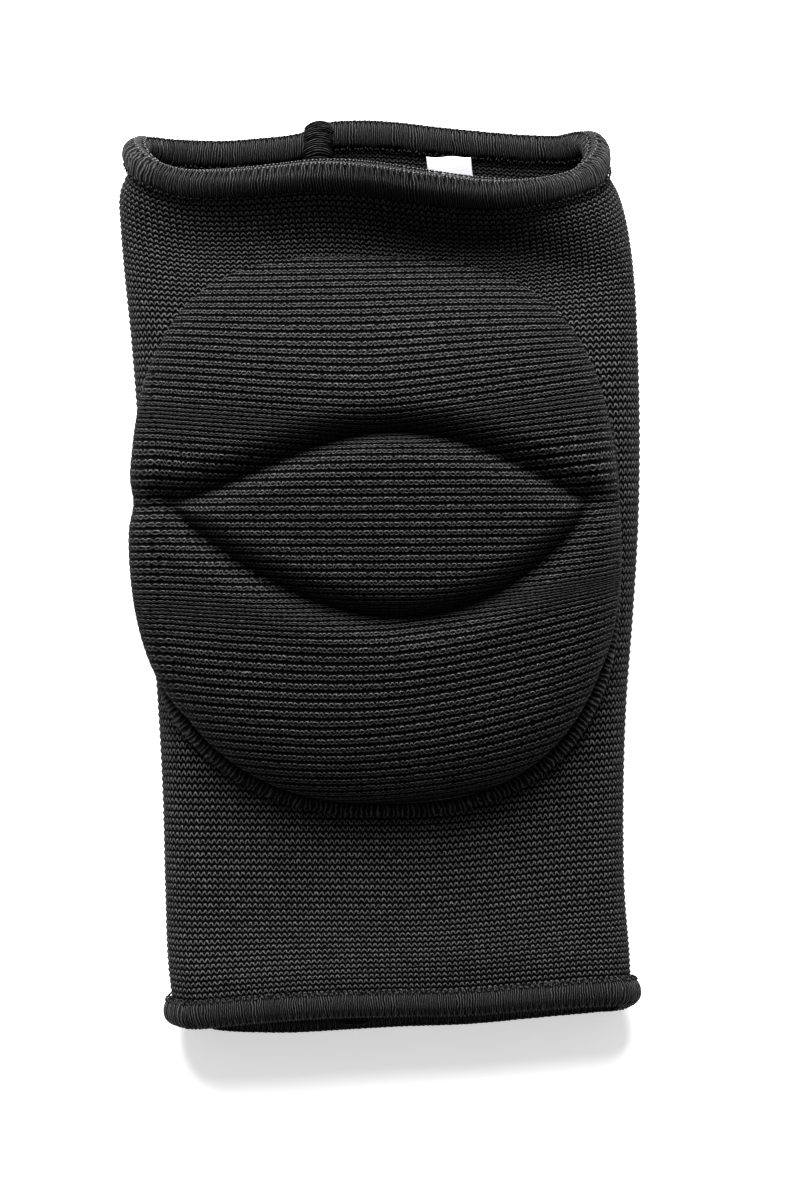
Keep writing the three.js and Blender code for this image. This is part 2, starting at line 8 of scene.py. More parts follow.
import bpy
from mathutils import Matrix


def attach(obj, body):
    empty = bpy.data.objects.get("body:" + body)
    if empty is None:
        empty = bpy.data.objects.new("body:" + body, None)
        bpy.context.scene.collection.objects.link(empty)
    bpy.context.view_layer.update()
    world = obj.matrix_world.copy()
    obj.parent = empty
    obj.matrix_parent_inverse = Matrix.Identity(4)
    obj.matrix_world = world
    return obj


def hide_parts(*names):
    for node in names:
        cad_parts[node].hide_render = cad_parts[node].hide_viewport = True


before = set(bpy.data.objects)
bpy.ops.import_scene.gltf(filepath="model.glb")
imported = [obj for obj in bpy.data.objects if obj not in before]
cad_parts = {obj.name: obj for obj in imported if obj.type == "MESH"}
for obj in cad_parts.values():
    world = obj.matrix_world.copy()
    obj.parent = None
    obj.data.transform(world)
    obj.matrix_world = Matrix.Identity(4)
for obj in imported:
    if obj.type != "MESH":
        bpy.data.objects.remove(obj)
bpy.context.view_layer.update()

import math
from types import SimpleNamespace

import bpy
import numpy as np
from mathutils import Vector

scene = bpy.context.scene
MM = 0.001
ORIGIN = np.array([5.331, -120.2298, 0.0])  # what the part adds to its own coordinates

# The tube, as in the part
TUBE_LENGTH = 240.5
TUBE_WIDTH = 133.0
TUBE_HEIGHT = 33.5
TUBE_SIDE_RADIUS = 13.0
TUBE_LEAN = 9.0
KNIT_THICKNESS = 2.0
CLEARANCE = 0.3
THIGH_BAND_WIDTH = 8.0
CALF_BAND_WIDTH = 8.5
BAND_SKIN = 1.2
BAND_SLANT = 0.2
RIM_DROP = 20.0
BACK_WAVE = 0.28
BACK_SETTLE = 20.0

# The pad, as in the part
PAD_LENGTH = 141.0
PAD_ARC_WIDTH = 123.5
PAD_CENTRE_Y = 132.4
PAD_CENTRE_ARC = -3.75
PAD_THICKNESS = 18.0
PAD_SIDE_THICKNESS = 11.0
PAD_EDGE = 3.0
PAD_END_ROLL = 30.0
PAD_RAMP = 50.0  # over how much the thigh end rises
RAMP_EDGE = 0.6  # how thick the ramp starts, as a share of PAD_EDGE
RAMP_POWER = 0.9  # how straight it rises: 0.5 is a round edge
THIGH_CORNERS = (2.9, 2.95)  # how square the outline's left and right corners are: 2 is an ellipse
CALF_CORNERS = (2.3, 2.55)
PAD_SIDE_ROLL = 9.0
PANEL_ARC_WIDTH = 105.0
PANEL_CENTRE_ARC = -3.6
PANEL_TIP_Y = 139.5
CREASE_DEPTH = 9.5
CREASE_REACH = 8.4
CREASE_POWER = 2.1  # how sharply a crease's sides fall
CREASE_TIP = 0.55  # the share of the depth that is left at a crease's tips
TUCK_REACH = 13.5
UPPER_CREASE = {"rise": 17.0, "peak": 0.1, "left": 1.6, "right": 1.1}
LOWER_CREASE = {"rise": -28.5, "peak": 0.12, "left": 0.85, "right": 0.7}
RIDGE_WIDTH = 3.6
RIDGE_HEIGHT = 2.6
RIDGE_START = 0.46 * 2 * math.pi
RIDGE_END = 1.04 * 2 * math.pi
SEAM_TURN = 0.952
SEAM_WIDTH = 6.0
SEAM_THICKNESS = 2.4
TAB_WIDTH = 11.7
TAB_LENGTH = 24.0
TAB_TURN = 0.078
SIDE_LIMIT = 0.46  # the most that the side's radius takes of the height
WAVE_FROM = 0.45  # the waves start at this share of the height
WAVE_BLEND = 0.5

# along, centre, width, height, side radius, as shares of the tube's own sizes
TUBE_SECTIONS = np.array([
    (0.0, 0.11, 0.894, 0.66, 0.8), (0.08, -0.03, 0.912, 0.65, 0.78), (0.16, -0.15, 0.908, 0.66, 0.8),
    (0.26, -0.2, 0.91, 0.7, 0.83), (0.36, -0.23, 0.924, 0.83, 0.9), (0.46, -0.23, 0.95, 0.95, 0.97),
    (0.56, -0.24, 0.972, 1.0, 1.0), (0.66, -0.32, 0.988, 1.0, 1.0), (0.76, -0.46, 0.998, 0.97, 1.0),
    (0.83, -0.61, 1.004, 0.92, 1.0), (0.88, -0.76, 0.998, 0.9, 1.0), (0.915, -0.9, 0.98, 1.0, 1.02),
    (0.945, -0.97, 0.93, 1.07, 1.04), (1.0, -1.0, 0.895, 1.09, 1.04),
])
# turn, drop as a share of RIM_DROP
THIGH_RIM = np.array([
    (0, 0), (0.034, 0.03), (0.061, 0.075), (0.1, 0.13), (0.146, 0.185), (0.184, 0.2), (0.215, 0.16),
    (0.238, 0.2), (0.256, 0.38), (0.284, 0.6), (0.313, 0.8), (0.352, 0.92), (0.39, 0.96),
    (0.449, 0.885), (0.5, 0.79), (0.543, 0.755), (0.589, 0.795), (0.625, 0.82), (0.663, 0.8),
    (0.691, 0.7), (0.718, 0.52), (0.745, 0.33), (0.77, 0.24), (0.8, 0.24), (0.856, 0.27),
    (0.893, 0.24), (0.935, 0.17), (0.962, 0.03),
])
CALF_RIM = np.array([
    (0, 0.08), (0.064, 0.11), (0.132, 0.19), (0.199, 0.27), (0.225, 0.3), (0.255, 0.4),
    (0.306, 0.42), (0.368, 0.37), (0.436, 0.31), (0.502, 0.3), (0.585, 0.275), (0.657, 0.2),
    (0.71, 0.13), (0.745, 0.14), (0.78, 0.1), (0.82, 0.02), (0.86, 0), (0.89, 0), (0.951, 0.045),
])
# across, along, reach across, reach along, lift, slant
FRONT_WAVES = [
    (0.3, 0.858, 0.95, 0.22, -0.28, -0.3), (-0.1, 0.85, 0.8, 0.34, -0.13, -0.05),
    (-0.24, 0.94, 0.6, 0.35, 0.05, 0), (-0.6, 0.86, 0.7, 0.32, -0.1, 0),
    (-0.1, 0.85, 2.6, 0.28, -0.08, 0), (0.64, 0.895, 0.5, 0.26, 0.12, -0.3),
    (0.3, 0.05, 1.1, 0.2, -0.06, 0), (-0.5, 0.06, 0.8, 0.2, 0.04, 0),
]
WAVE_TAIL = 2.4  # the waves run out this much more slowly towards the calf
# side, outward, reach round, reach along, depth
TUCKS = [(-1, 1.07, 0.55, 0.33, 0.34), (1, 1.07, 0.5, 0.3, 0.3)]


def mix(a, b, t):
    return a + (b - a) * t


def ease(t):
    u = np.clip(t, 0, 1)
    return u * u * (3 - 2 * u)


def halve(low, high, past):
    """The places between low and high where past turns true."""
    for _ in range(40):
        half = (low + high) / 2
        beyond = past(half)
        high, low = np.where(beyond, half, high), np.where(beyond, low, half)
    return low


def smooth(keys, values, at, period=0.0):
    """A smooth value read between the rows of a table."""
    if period:
        keys = np.concatenate([keys[-2:] - period, keys, keys[:3] + period])
        values = np.concatenate([values[-2:], values, values[:3]])
        x = at - np.floor(at / period) * period
    else:
        x = np.clip(at, keys[0], keys[-1])
    before = np.maximum(np.arange(len(keys)) - 1, 0)
    after = np.minimum(np.arange(len(keys)) + 1, len(keys) - 1)
    slopes = (values[after] - values[before]) / (keys[after] - keys[before])
    i = np.clip(np.searchsorted(keys, x, side="right") - 1, 0, len(keys) - 2)
    span = keys[i + 1] - keys[i]
    t = (x - keys[i]) / span
    t2, t3 = t * t, t * t * t
    return (
        (2 * t3 - 3 * t2 + 1) * values[i]
        + (t3 - 2 * t2 + t) * span * slopes[i]
        + (3 * t2 - 2 * t3) * values[i + 1]
        + (t3 - t2) * span * slopes[i + 1]
    )


def section_at(y):
    """The sizes of the tube's section at a place along it."""
    along = np.asarray(y, float) / TUBE_LENGTH
    centre, width, height, side = (
        smooth(TUBE_SECTIONS[:, 0], TUBE_SECTIONS[:, k], along) for k in (1, 2, 3, 4)
    )
    tube = SimpleNamespace(centre=TUBE_LEAN * centre, height=TUBE_HEIGHT * height)
    tube.radius = np.minimum(TUBE_SIDE_RADIUS * side, SIDE_LIMIT * tube.height)
    tube.flat = TUBE_WIDTH * width / 2 - tube.radius
    tube.crown = (
        tube.flat ** 2 + (tube.height - tube.radius) ** 2 - tube.radius ** 2
    ) / (2 * (tube.height - 2 * tube.radius))
    tube.tangent = np.arctan2(tube.radius - (tube.height - tube.crown), tube.flat)
    tube.side = tube.radius * (math.pi / 2 + tube.tangent)
    tube.half = tube.flat + tube.side + tube.crown * (math.pi / 2 - tube.tangent)
    return tube


def surface(turn, y, waves=True):
    """Points on the tube's outer face."""
    turn, y = np.broadcast_arrays(np.asarray(turn, float), np.asarray(y, float))
    tube = section_at(y)
    t = turn - np.floor(turn)
    right = t <= 0.5
    length = 2 * tube.half * np.where(right, t, 1 - t)
    a1 = (length - tube.flat) / tube.radius - math.pi / 2
    a2 = tube.tangent + (length - tube.flat - tube.side) / tube.crown
    on_flat, on_side = length < tube.flat, length < tube.flat + tube.side
    side_x, side_z = tube.flat + tube.radius * np.cos(a1), tube.radius * (1 + np.sin(a1))
    top_x, top_z = tube.crown * np.cos(a2), tube.height - tube.crown + tube.crown * np.sin(a2)
    x = np.select([on_flat, on_side], [length, side_x], top_x)
    z = np.select([on_flat, on_side], [np.zeros_like(length), side_z], top_z)
    share = z / tube.height
    x = tube.centre + np.where(right, x, -x)
    inward = np.minimum(y - CALF_BAND_WIDTH, TUBE_LENGTH - THIGH_BAND_WIDTH - y)
    z = z + (BAND_SKIN + CLEARANCE) * ease(1 - (inward - BACK_WAVE * RIM_DROP) / BACK_SETTLE)
    for across, along, reach_x, reach_y, lift, slant in FRONT_WAVES if waves else []:
        dx = (x - across * TUBE_WIDTH / 2) / TUBE_HEIGHT
        dy = (y - along * TUBE_LENGTH) / TUBE_HEIGHT - slant * dx
        reach_y = np.where(dy < 0, reach_y * WAVE_TAIL, reach_y)
        swell = np.exp(-((dx / reach_x) ** 2) - (dy / reach_y) ** 2)
        z = z + lift * TUBE_HEIGHT * swell * ease((share - WAVE_FROM) / WAVE_BLEND)
    return np.stack([x, y, z], -1)


def raised(turn, y, lift, waves=True):
    """The same points, raised along the face's outward direction, or the one it has without its waves."""
    step_turn, step_y = 1e-3, 0.2
    turn, y = np.asarray(turn, float), np.asarray(y, float)
    around = surface(turn + step_turn, y, waves) - surface(turn - step_turn, y, waves)
    along = surface(turn, y + step_y, waves) - surface(turn, y - step_y, waves)
    outward = np.cross(along, around)
    outward /= np.linalg.norm(outward, axis=-1, keepdims=True)
    lift = np.broadcast_to(np.asarray(lift, float), outward.shape[:-1])
    return surface(turn, y) + outward * lift[..., None]


def thigh_rim(turn):
    return TUBE_LENGTH - RIM_DROP * smooth(THIGH_RIM[:, 0], THIGH_RIM[:, 1], turn, 1.0)


def calf_rim(turn):
    return RIM_DROP * smooth(CALF_RIM[:, 0], CALF_RIM[:, 1], turn, 1.0)


def band_reach(turn, width):
    """How far a band reaches in from its rim: less on the front than on the back."""
    return width * (1 - BAND_SLANT * (1 - np.cos(2 * math.pi * turn)) / 2)


def pad_point(arc, y, lift):
    """A point over the tube's front, from its place across the front and along the tube."""
    return raised(0.5 - arc / (2 * section_at(y).half), y, lift, waves=False)


def corner_power(right, thigh):
    side = np.where(right, 1, 0)
    return np.where(thigh, np.array(THIGH_CORNERS)[side], np.array(CALF_CORNERS)[side])


def pad_outline(angle, margin=0.0):
    """Points on the pad's outline, or a margin outside it."""
    c, s = np.cos(angle), np.sin(angle)
    power = 2 / corner_power(c > 0, s > 0)
    arc = PAD_CENTRE_ARC + (PAD_ARC_WIDTH / 2 + margin) * np.sign(c) * np.abs(c) ** power
    y = PAD_CENTRE_Y + (PAD_LENGTH / 2 + margin) * np.sign(s) * np.abs(s) ** power
    return arc, y


def pad_reach(arc, y):
    """0 at the pad's middle and 1 on its outline."""
    a = (arc - PAD_CENTRE_ARC) / (PAD_ARC_WIDTH / 2)
    b = (y - PAD_CENTRE_Y) / (PAD_LENGTH / 2)
    power = corner_power(a > 0, b > 0)
    return (np.abs(a) ** power + np.abs(b) ** power) ** (1 / power)


def crease_y(crease, across):
    a = np.clip(across, -1, 1)
    left = a < crease["peak"]
    far = np.where(left, 1 + crease["peak"], 1 - crease["peak"])
    power = np.where(left, crease["left"], crease["right"])
    fall = np.cos(math.pi / 2 * np.minimum(1, np.abs(a - crease["peak"]) / far))
    return PANEL_TIP_Y + crease["rise"] * np.maximum(fall, 0) ** power


def panel_across(arc):
    return (arc - PANEL_CENTRE_ARC) / (PANEL_ARC_WIDTH / 2)


def crease_depth(crease, arc, y):
    """How deep a crease is drawn in: it is deepest in the middle, and runs out past the tips."""
    across = panel_across(arc)
    rise = crease_y(crease, across + 0.01) - crease_y(crease, across - 0.01)
    slope = rise / (0.01 * PANEL_ARC_WIDTH)
    past = np.maximum(0, np.abs(across) - 1) * PANEL_ARC_WIDTH / 2
    off = (y - crease_y(crease, across)) / np.hypot(1, slope)
    away = np.hypot(off, 1.6 * past) / CREASE_REACH
    fade = mix(CREASE_TIP, 1, np.maximum(np.cos(math.pi / 2 * np.clip(np.abs(across), 0, 1)), 0) ** 0.6)
    return CREASE_DEPTH * fade * np.maximum(0, 1 - away) ** CREASE_POWER


def pad_thickness(arc, y):
    """How thick the foam is, with its rolled edge, the thigh end's ramp, the creases and the tucks."""
    a = (arc - PAD_CENTRE_ARC) / (PAD_ARC_WIDTH / 2)
    b = (y - PAD_CENTRE_Y) / (PAD_LENGTH / 2)
    full = mix(PAD_THICKNESS, PAD_SIDE_THICKNESS, np.minimum(1, np.abs(a)) ** 2.5)
    endward = np.abs(b) / np.maximum(1e-6, np.hypot(a, b))
    thighward = endward**2 * ease(b / 0.3)
    roll = mix(PAD_SIDE_ROLL, PAD_END_ROLL, endward**2)
    roll = mix(roll, PAD_RAMP, thighward)
    radius = np.hypot(a * PAD_ARC_WIDTH, b * PAD_LENGTH) / 2
    reach = np.maximum(pad_reach(arc, y), 1e-6)
    over = 1 - np.clip(radius / reach * (1 - reach) / roll, 0, 1)
    edge = PAD_EDGE * mix(1, RAMP_EDGE, thighward)
    domed = mix(edge, full, np.maximum(0, 1 - over**2) ** mix(0.5, RAMP_POWER, thighward))
    drawn = np.maximum(crease_depth(UPPER_CREASE, arc, y), crease_depth(LOWER_CREASE, arc, y))
    for side, outward, reach_arc, reach_y, depth in TUCKS:
        da = (arc - PANEL_CENTRE_ARC - side * outward * PANEL_ARC_WIDTH / 2) / (reach_arc * TUCK_REACH)
        dy = (y - PANEL_TIP_Y) / (reach_y * TUCK_REACH)
        drawn = drawn + depth * CREASE_DEPTH * np.exp(-da * da - dy * dy)
    drawn = drawn * np.clip((domed - PAD_EDGE) / (0.6 * full), 0, 1)
    return np.maximum(0.6 * PAD_EDGE, domed - drawn)


def quads(rows, columns, close_rows=False, close_columns=False):
    """The quads of a grid, as vertex numbers and as numbers into a grid one wider where it closes."""
    j, i = np.meshgrid(
        np.arange(rows if close_rows else rows - 1),
        np.arange(columns if close_columns else columns - 1),
        indexing="ij",
    )
    corners = [(j, i), (j, i + 1), (j + 1, i + 1), (j + 1, i)]
    ids = [(cj % rows) * columns + ci % columns for cj, ci in corners]
    wide = columns + (1 if close_columns else 0)
    spots = [cj * wide + ci for cj, ci in corners]
    return [np.stack([corner.ravel() for corner in numbers], -1) for numbers in (ids, spots)]


def border(rows, columns):
    """The vertex numbers round the border of an open grid."""
    return np.concatenate([
        np.arange(columns),
        np.arange(1, rows) * columns + columns - 1,
        (rows - 1) * columns + np.arange(columns - 2, -1, -1),
        np.arange(rows - 2, 0, -1) * columns,
    ])


class Shell:
    """Collects parts of one piece's mesh: points in millimetres, faces, and a place in the pattern."""

    def __init__(self):
        self.points, self.faces, self.places, self.count = [], [], [], 0

    def add(self, points, faces, places):
        """places gives each corner of each face its place in the pattern."""
        self.points.append(points.reshape(-1, 3))
        self.faces.append(faces + self.count)
        self.places.append(places)
        self.count += len(self.points[-1])

    def grid(self, points, places, close_rows=False, close_columns=False):
        rows, columns = points.shape[:2]
        faces, spots = quads(rows, columns, close_rows, close_columns)
        self.add(points, faces, places.reshape(-1, 2)[spots])

    def close_ends(self, rows, columns):
        """Closes the two ends of the last grid, a tube of rows rings of columns points."""
        for row, flip in ((0, True), (rows - 1, False)):
            ids = row * columns + np.arange(columns) + self.count - rows * columns
            self.faces.append((ids[::-1] if flip else ids)[None])
            self.places.append(np.zeros((1, columns, 2)))

    def build(self, name, material):
        points = (np.concatenate(self.points) + ORIGIN) * MM
        points[:, 2] = np.maximum(points[:, 2], 0)  # the cloth lies on the floor
        mesh = bpy.data.meshes.new(name)
        mesh.vertices.add(len(points))
        mesh.vertices.foreach_set("co", points.astype(np.float32).ravel())
        sizes = np.concatenate([np.full(len(f), f.shape[1]) for f in self.faces])
        corners = np.concatenate([f.ravel() for f in self.faces])
        mesh.loops.add(len(corners))
        mesh.loops.foreach_set("vertex_index", corners.astype(np.int32))
        mesh.polygons.add(len(sizes))
        starts = np.concatenate([[0], np.cumsum(sizes)[:-1]])
        mesh.polygons.foreach_set("loop_start", starts.astype(np.int32))
        mesh.polygons.foreach_set("loop_total", sizes.astype(np.int32))
        mesh.update(calc_edges=True)
        layer = mesh.uv_layers.new(name="pattern")
        places = np.concatenate([p.reshape(-1, 2) for p in self.places])
        layer.data.foreach_set("uv", places.astype(np.float32).ravel())
        mesh.validate()
        mesh.shade_smooth()
        mesh.materials.append(material)
        piece = bpy.data.objects.new(name, mesh)
        scene.collection.objects.link(piece)
        turn_out(piece)
        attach(piece, "root")
        return piece


def turn_out(piece):
    """Turns a closed mesh's faces over if they point in."""
    mesh = piece.data
    mesh.calc_loop_triangles()
    co = np.empty(len(mesh.vertices) * 3, np.float32)
    mesh.vertices.foreach_get("co", co)
    co = co.reshape(-1, 3).astype(float)
    tri = np.empty(len(mesh.loop_triangles) * 3, np.int32)
    mesh.loop_triangles.foreach_get("vertices", tri)
    a, b, c = (co[tri.reshape(-1, 3)[:, k]] for k in range(3))
    if np.einsum("ij,ij->i", a, np.cross(b, c)).sum() < 0:
        mesh.flip_normals()


def swept(path, radius, sides, shell, per_place, closed=False, mark=0.0):
    """Adds a tube along a path of points to a shell. The pattern runs along it in per_place units."""
    path = np.asarray(path, float)
    count = len(path)
    if closed:
        ahead = np.roll(path, -1, 0) - np.roll(path, 1, 0)
    else:
        ahead = np.gradient(path, axis=0)
    ahead /= np.maximum(np.linalg.norm(ahead, axis=1, keepdims=True), 1e-9)
    side = np.cross(ahead, [0.0, 0.0, 1.0])
    side /= np.maximum(np.linalg.norm(side, axis=1, keepdims=True), 1e-9)
    top = np.cross(side, ahead)
    radius = np.broadcast_to(np.asarray(radius, float), (count,))
    angle = 2 * math.pi * np.arange(sides) / sides
    ring = (
        path[:, None]
        + side[:, None] * (np.cos(angle)[None, :, None] * radius[:, None, None])
        + top[:, None] * (np.sin(angle)[None, :, None] * radius[:, None, None])
    )
    run = np.arange(count + 1) * per_place
    along = run[: count + (1 if closed else 0)]
    around = np.arange(sides + 1) / sides + mark
    places = np.stack(np.meshgrid(along, around, indexing="ij"), -1)
    shell.grid(ring, places, close_rows=closed, close_columns=True)
    if not closed:
        shell.close_ends(count, sides)


def set_inputs(node, values):
    for name, value in values.items():
        node.inputs[name].default_value = value


class Field:
    """A number in a material's node tree, with arithmetic."""

    def __init__(self, tree, socket):
        self.tree, self.socket = tree, socket

    def math(self, operation, *others, clamp=False):
        node = self.tree.nodes.new("ShaderNodeMath")
        node.operation, node.use_clamp = operation, clamp
        for slot, value in zip(node.inputs, (self, *others)):
            if isinstance(value, Field):
                self.tree.links.new(value.socket, slot)
            else:
                slot.default_value = value
        return Field(self.tree, node.outputs[0])

    def __add__(self, other):
        return self.math("ADD", other)

    def __sub__(self, other):
        return self.math("SUBTRACT", other)

    def __mul__(self, other):
        return self.math("MULTIPLY", other)

    def frac(self):
        return self.math("FRACT")

    def wave(self):
        """0 at whole numbers, 1 half way between them."""
        return (self * (2 * math.pi)).math("COSINE") * -0.5 + 0.5


class Finish:
    """A cloth material under construction."""

    def __init__(self, name, roughness, sheen=0.0, specular=0.2):
        self.material = bpy.data.materials.new(name)
        self.material.use_nodes = True
        self.tree = self.material.node_tree
        self.shader = self.tree.nodes["Principled BSDF"]
        set_inputs(self.shader, {"Roughness": roughness, "Specular IOR Level": specular})
        set_inputs(self.shader, {"Sheen Weight": sheen, "Sheen Roughness": 0.45})
        place = self.tree.nodes.new("ShaderNodeUVMap")
        place.uv_map = "pattern"
        split = self.tree.nodes.new("ShaderNodeSeparateXYZ")
        self.tree.links.new(place.outputs["UV"], split.inputs[0])
        self.u = Field(self.tree, split.outputs["X"])
        self.v = Field(self.tree, split.outputs["Y"])
        self.place = self.tree.nodes.new("ShaderNodeTexCoord").outputs["Object"]

    def noise(self, scale, detail=2.0, rough=0.5, stretch=None, solid=False):
        """Noise over the pattern, or through the space the piece lies in."""
        node = self.tree.nodes.new("ShaderNodeTexNoise")
        set_inputs(node, {"Scale": scale, "Detail": detail, "Roughness": rough})
        source = self.place
        if not solid:
            join = self.tree.nodes.new("ShaderNodeCombineXYZ")
            self.tree.links.new(self.u.socket, join.inputs[0])
            self.tree.links.new(self.v.socket, join.inputs[1])
            source = join.outputs[0]
        if stretch:
            shape = self.tree.nodes.new("ShaderNodeMapping")
            shape.inputs["Scale"].default_value = stretch
            self.tree.links.new(source, shape.inputs["Vector"])
            source = shape.outputs[0]
        self.tree.links.new(source, node.inputs["Vector"])
        return Field(self.tree, node.outputs["Fac"])

    def colours(self, share, stops):
        """The base colour runs through stops of grey as share goes from 0 to 1."""
        ramp = self.tree.nodes.new("ShaderNodeValToRGB")
        elements = ramp.color_ramp.elements
        while len(elements) < len(stops):
            elements.new(0.5)
        for element, (at, value) in zip(elements, stops.items()):
            element.position = at
            element.color = (*grey(value), 1)
        self.tree.links.new(share.socket, ramp.inputs["Fac"])
        self.tree.links.new(ramp.outputs["Color"], self.shader.inputs["Base Color"])

    def bump(self, height, depth, strength=1.0):
        node = self.tree.nodes.new("ShaderNodeBump")
        set_inputs(node, {"Distance": depth, "Strength": strength})
        self.tree.links.new(height.socket, node.inputs["Height"])
        self.tree.links.new(node.outputs["Normal"], self.shader.inputs["Normal"])


INNER_MARK = 1000.0  # the sleeve's inner face lies this far along the pattern, where its yarn is painted darker as the shade inside the tube
CHAIN_MARK = 9.0  # the rim's chain lies this far across the pattern, where the thread is bright
COURSE_PITCH = 1.85  # millimetres from one of the sleeve's courses to the next
COURSE_LOOP = 1.46  # and from loop to loop
COURSE_SWING = 0.27  # how far a course's yarn waves, as a share of the pitch
COURSE_YARN = 0.27  # half its width
RIB_PITCH = 2.1  # the same for the pad's cover
RIB_LOOP = 2.4
RIB_SWING = 0.235
RIB_YARN = 0.2


def grey(value):
    """A slightly cool charcoal, from an sRGB grey of 0 to 255."""
    c = value / 255
    linear = c / 12.92 if c <= 0.04045 else ((c + 0.055) / 1.055) ** 2.4
    return (linear, linear, linear * 1.02)


def strand(across, yarn):
    """How high a round strand stands, 0 to 1, at a distance from its middle."""
    share = across * (1 / yarn)
    return (share * share * -1.0 + 1.0).math("MAXIMUM", 0.0).math("SQRT")


def waving_strand(gap, angle, slope, yarn):
    """The same for a strand that waves, from its distance along v and how steep it gets."""
    steep = angle.math("SINE") * (2 * math.pi * slope)
    return strand(gap.math("DIVIDE", (steep * steep + 1.0).math("SQRT")), yarn)


def knit_finish():
    """Courses of one waving yarn each, with the gaps between them painted near black as shade."""
    finish = Finish("sleeve_knit", 0.88, sheen=0.03, specular=0.08)
    wander = finish.noise(0.6, 1.0) * 0.5 - 0.25
    jitter = finish.noise(1.9, 1.0) * 0.5 - 0.25
    angle = (finish.u + jitter) * (2 * math.pi)
    shift = finish.v - angle.math("COSINE") * COURSE_SWING + wander * 0.3
    gap = (shift.frac() - 0.5) * COURSE_PITCH
    yarn = waving_strand(gap, angle, COURSE_SWING * COURSE_PITCH / COURSE_LOOP, COURSE_YARN)
    behind = strand(gap, 0.75) * 0.22
    fibres = finish.noise(3200, 3.0, 0.65, solid=True)
    spots = finish.noise(1.1, 2.0, 0.7)
    # painted shade: the inner face's yarn colour is cut to 0.7, for the shade inside the tube
    inside = finish.v.math("GREATER_THAN", INNER_MARK - 1) * -0.3 + 1.0
    share = (yarn * (fibres * 0.5 + spots * 0.6 + 0.1) + behind * fibres) * inside
    # painted shade: where no yarn lies, the colour falls to near black, for the shade between the courses
    finish.colours(share, {0.0: 5, 0.2: 24, 0.6: 68, 1.0: 116})
    finish.bump(yarn + behind + fibres * 0.16, 0.0004, 1.0)
    return finish.material


def cover_finish():
    """Each rib is a chain of small loops, made by two yarns that cross, between grooves painted near black as
    shade.
    """
    finish = Finish("cushion_cover", 0.88, sheen=0.03, specular=0.08)
    stray = finish.noise(0.9, 2.0, 0.7, stretch=(1.0, 0.25, 1.0)) * 0.18 - 0.09
    rib = (finish.v + stray).frac() - 0.5
    jitter = finish.noise(1.6, 2.0, stretch=(1.0, 0.6, 1.0)) * 0.7 - 0.35
    shear = finish.noise(1.0, 1.0, stretch=(1.0, 1.3, 1.0)) * 4.4 + 0.9
    yarns = []
    for turned in (0.0, shear):
        angle = (finish.u + jitter) * (2 * math.pi) + turned
        gap = (rib - angle.math("COSINE") * RIB_SWING) * RIB_PITCH
        yarns.append(waving_strand(gap, angle, RIB_SWING * RIB_PITCH / RIB_LOOP, RIB_YARN))
    loops = yarns[0].math("MAXIMUM", yarns[1])
    ends = rib.math("ABSOLUTE") * 1.9 + 0.35
    # painted shade: the body fill stops short of the grooves, so they stay near black in colour
    body = strand(rib * RIB_PITCH, 0.8) * 0.1
    fibres = finish.noise(3000, 3.0, 0.65, solid=True)
    spots = finish.noise(3.0, 2.0, 0.75, stretch=(1.0, 0.6, 1.0))
    share = loops * ends * (fibres * 0.5 + spots * 1.0) + body * fibres
    finish.colours(share, {0.0: 4, 0.16: 21, 0.5: 69, 1.0: 134})
    finish.bump(loops + body + fibres * 0.16, 0.00036, 1.0)
    return finish.material


def thread_finish(name, strands, rim=False):
    """Wrapped thread: strands run across the band, side by side round the edge.

    At a rim the threads part in small gaps, painted dark as shade, beside a bright chain.
    """
    finish = Finish(name, 0.65, sheen=0.03, specular=0.14)
    wander = finish.noise(0.7, 2.0, 0.6) * 1.8
    turns = (finish.u * strands + wander).wave()
    fibres = finish.noise(9, 3.0, 0.65, stretch=(6.0, 0.5, 1.0))
    fuzz = finish.noise(2600, 2.0, 0.6, solid=True)
    share = (turns.math("POWER", 1.5) * 0.95 + 0.16) * (fibres * 0.95 + fuzz * 0.35)
    if rim:
        away = finish.v.math("ABSOLUTE")
        side = (finish.u.frac() - 0.5).math("ABSOLUTE") * 2.0
        # painted shade: the gaps between the thread groups near the rim are darkened in colour
        hole_shade = ((side - away * 0.42 - 0.12) * 7.0).math("ADD", 0.0, clamp=True)
        beside = ((away - 0.55) * 5.0).math("ADD", 0.0, clamp=True)
        chain = finish.v.math("GREATER_THAN", CHAIN_MARK - 1)
        share = share * (hole_shade * beside * -0.92 + 1.0) + share * chain * 0.6
    finish.colours(share, {0.0: 4, 0.3: 22, 0.6: 60, 1.0: 120})
    finish.bump(turns + fibres * 0.5, 0.00024, 1.0)
    return finish.material


def tape_finish():
    """Smooth white tape with a faint weave."""
    finish = Finish("tab_tape", 0.55, specular=0.4)
    warp = finish.u.wave()
    weft = finish.v.wave()
    cloud = finish.noise(120, 2.0, solid=True)
    share = cloud * 0.7 + warp * weft * 0.3
    finish.colours(share, {0.0: 205, 0.6: 228, 1.0: 238})
    finish.bump(warp * weft, 0.00006, 0.6)
    return finish.material


KNIT = knit_finish()
COVER = cover_finish()
BAND_THREAD = thread_finish("band_thread", 3.0, rim=True)
SEAM_THREAD = thread_finish("seam_thread", 1.0)
TAPE = tape_finish()

# The sleeve: every course of the knit is a ridge on the outer wall
COURSES = 130
ROWS_A_COURSE = 4
SLEEVE_COLUMNS = 140
LOOPS_ROUND = 182
COURSE_RELIEF = 0.32
INNER_FINER = 1.6  # the inner face shows smaller courses than the outer one
RIM_FADE = 0.16  # share of the length over which the courses leave the rims' waves
SIDE_LIFT = 5.0  # how far the courses climb towards the right side
MEAN_CALF_RIM = 0.2  # where the rims lie on average, as shares of RIM_DROP
MEAN_THIGH_RIM = 0.42
THIGH_FADE = 1.6 * RIM_FADE
COURSE_BUNCHING = 0.02  # how much closer the courses lie near the rims


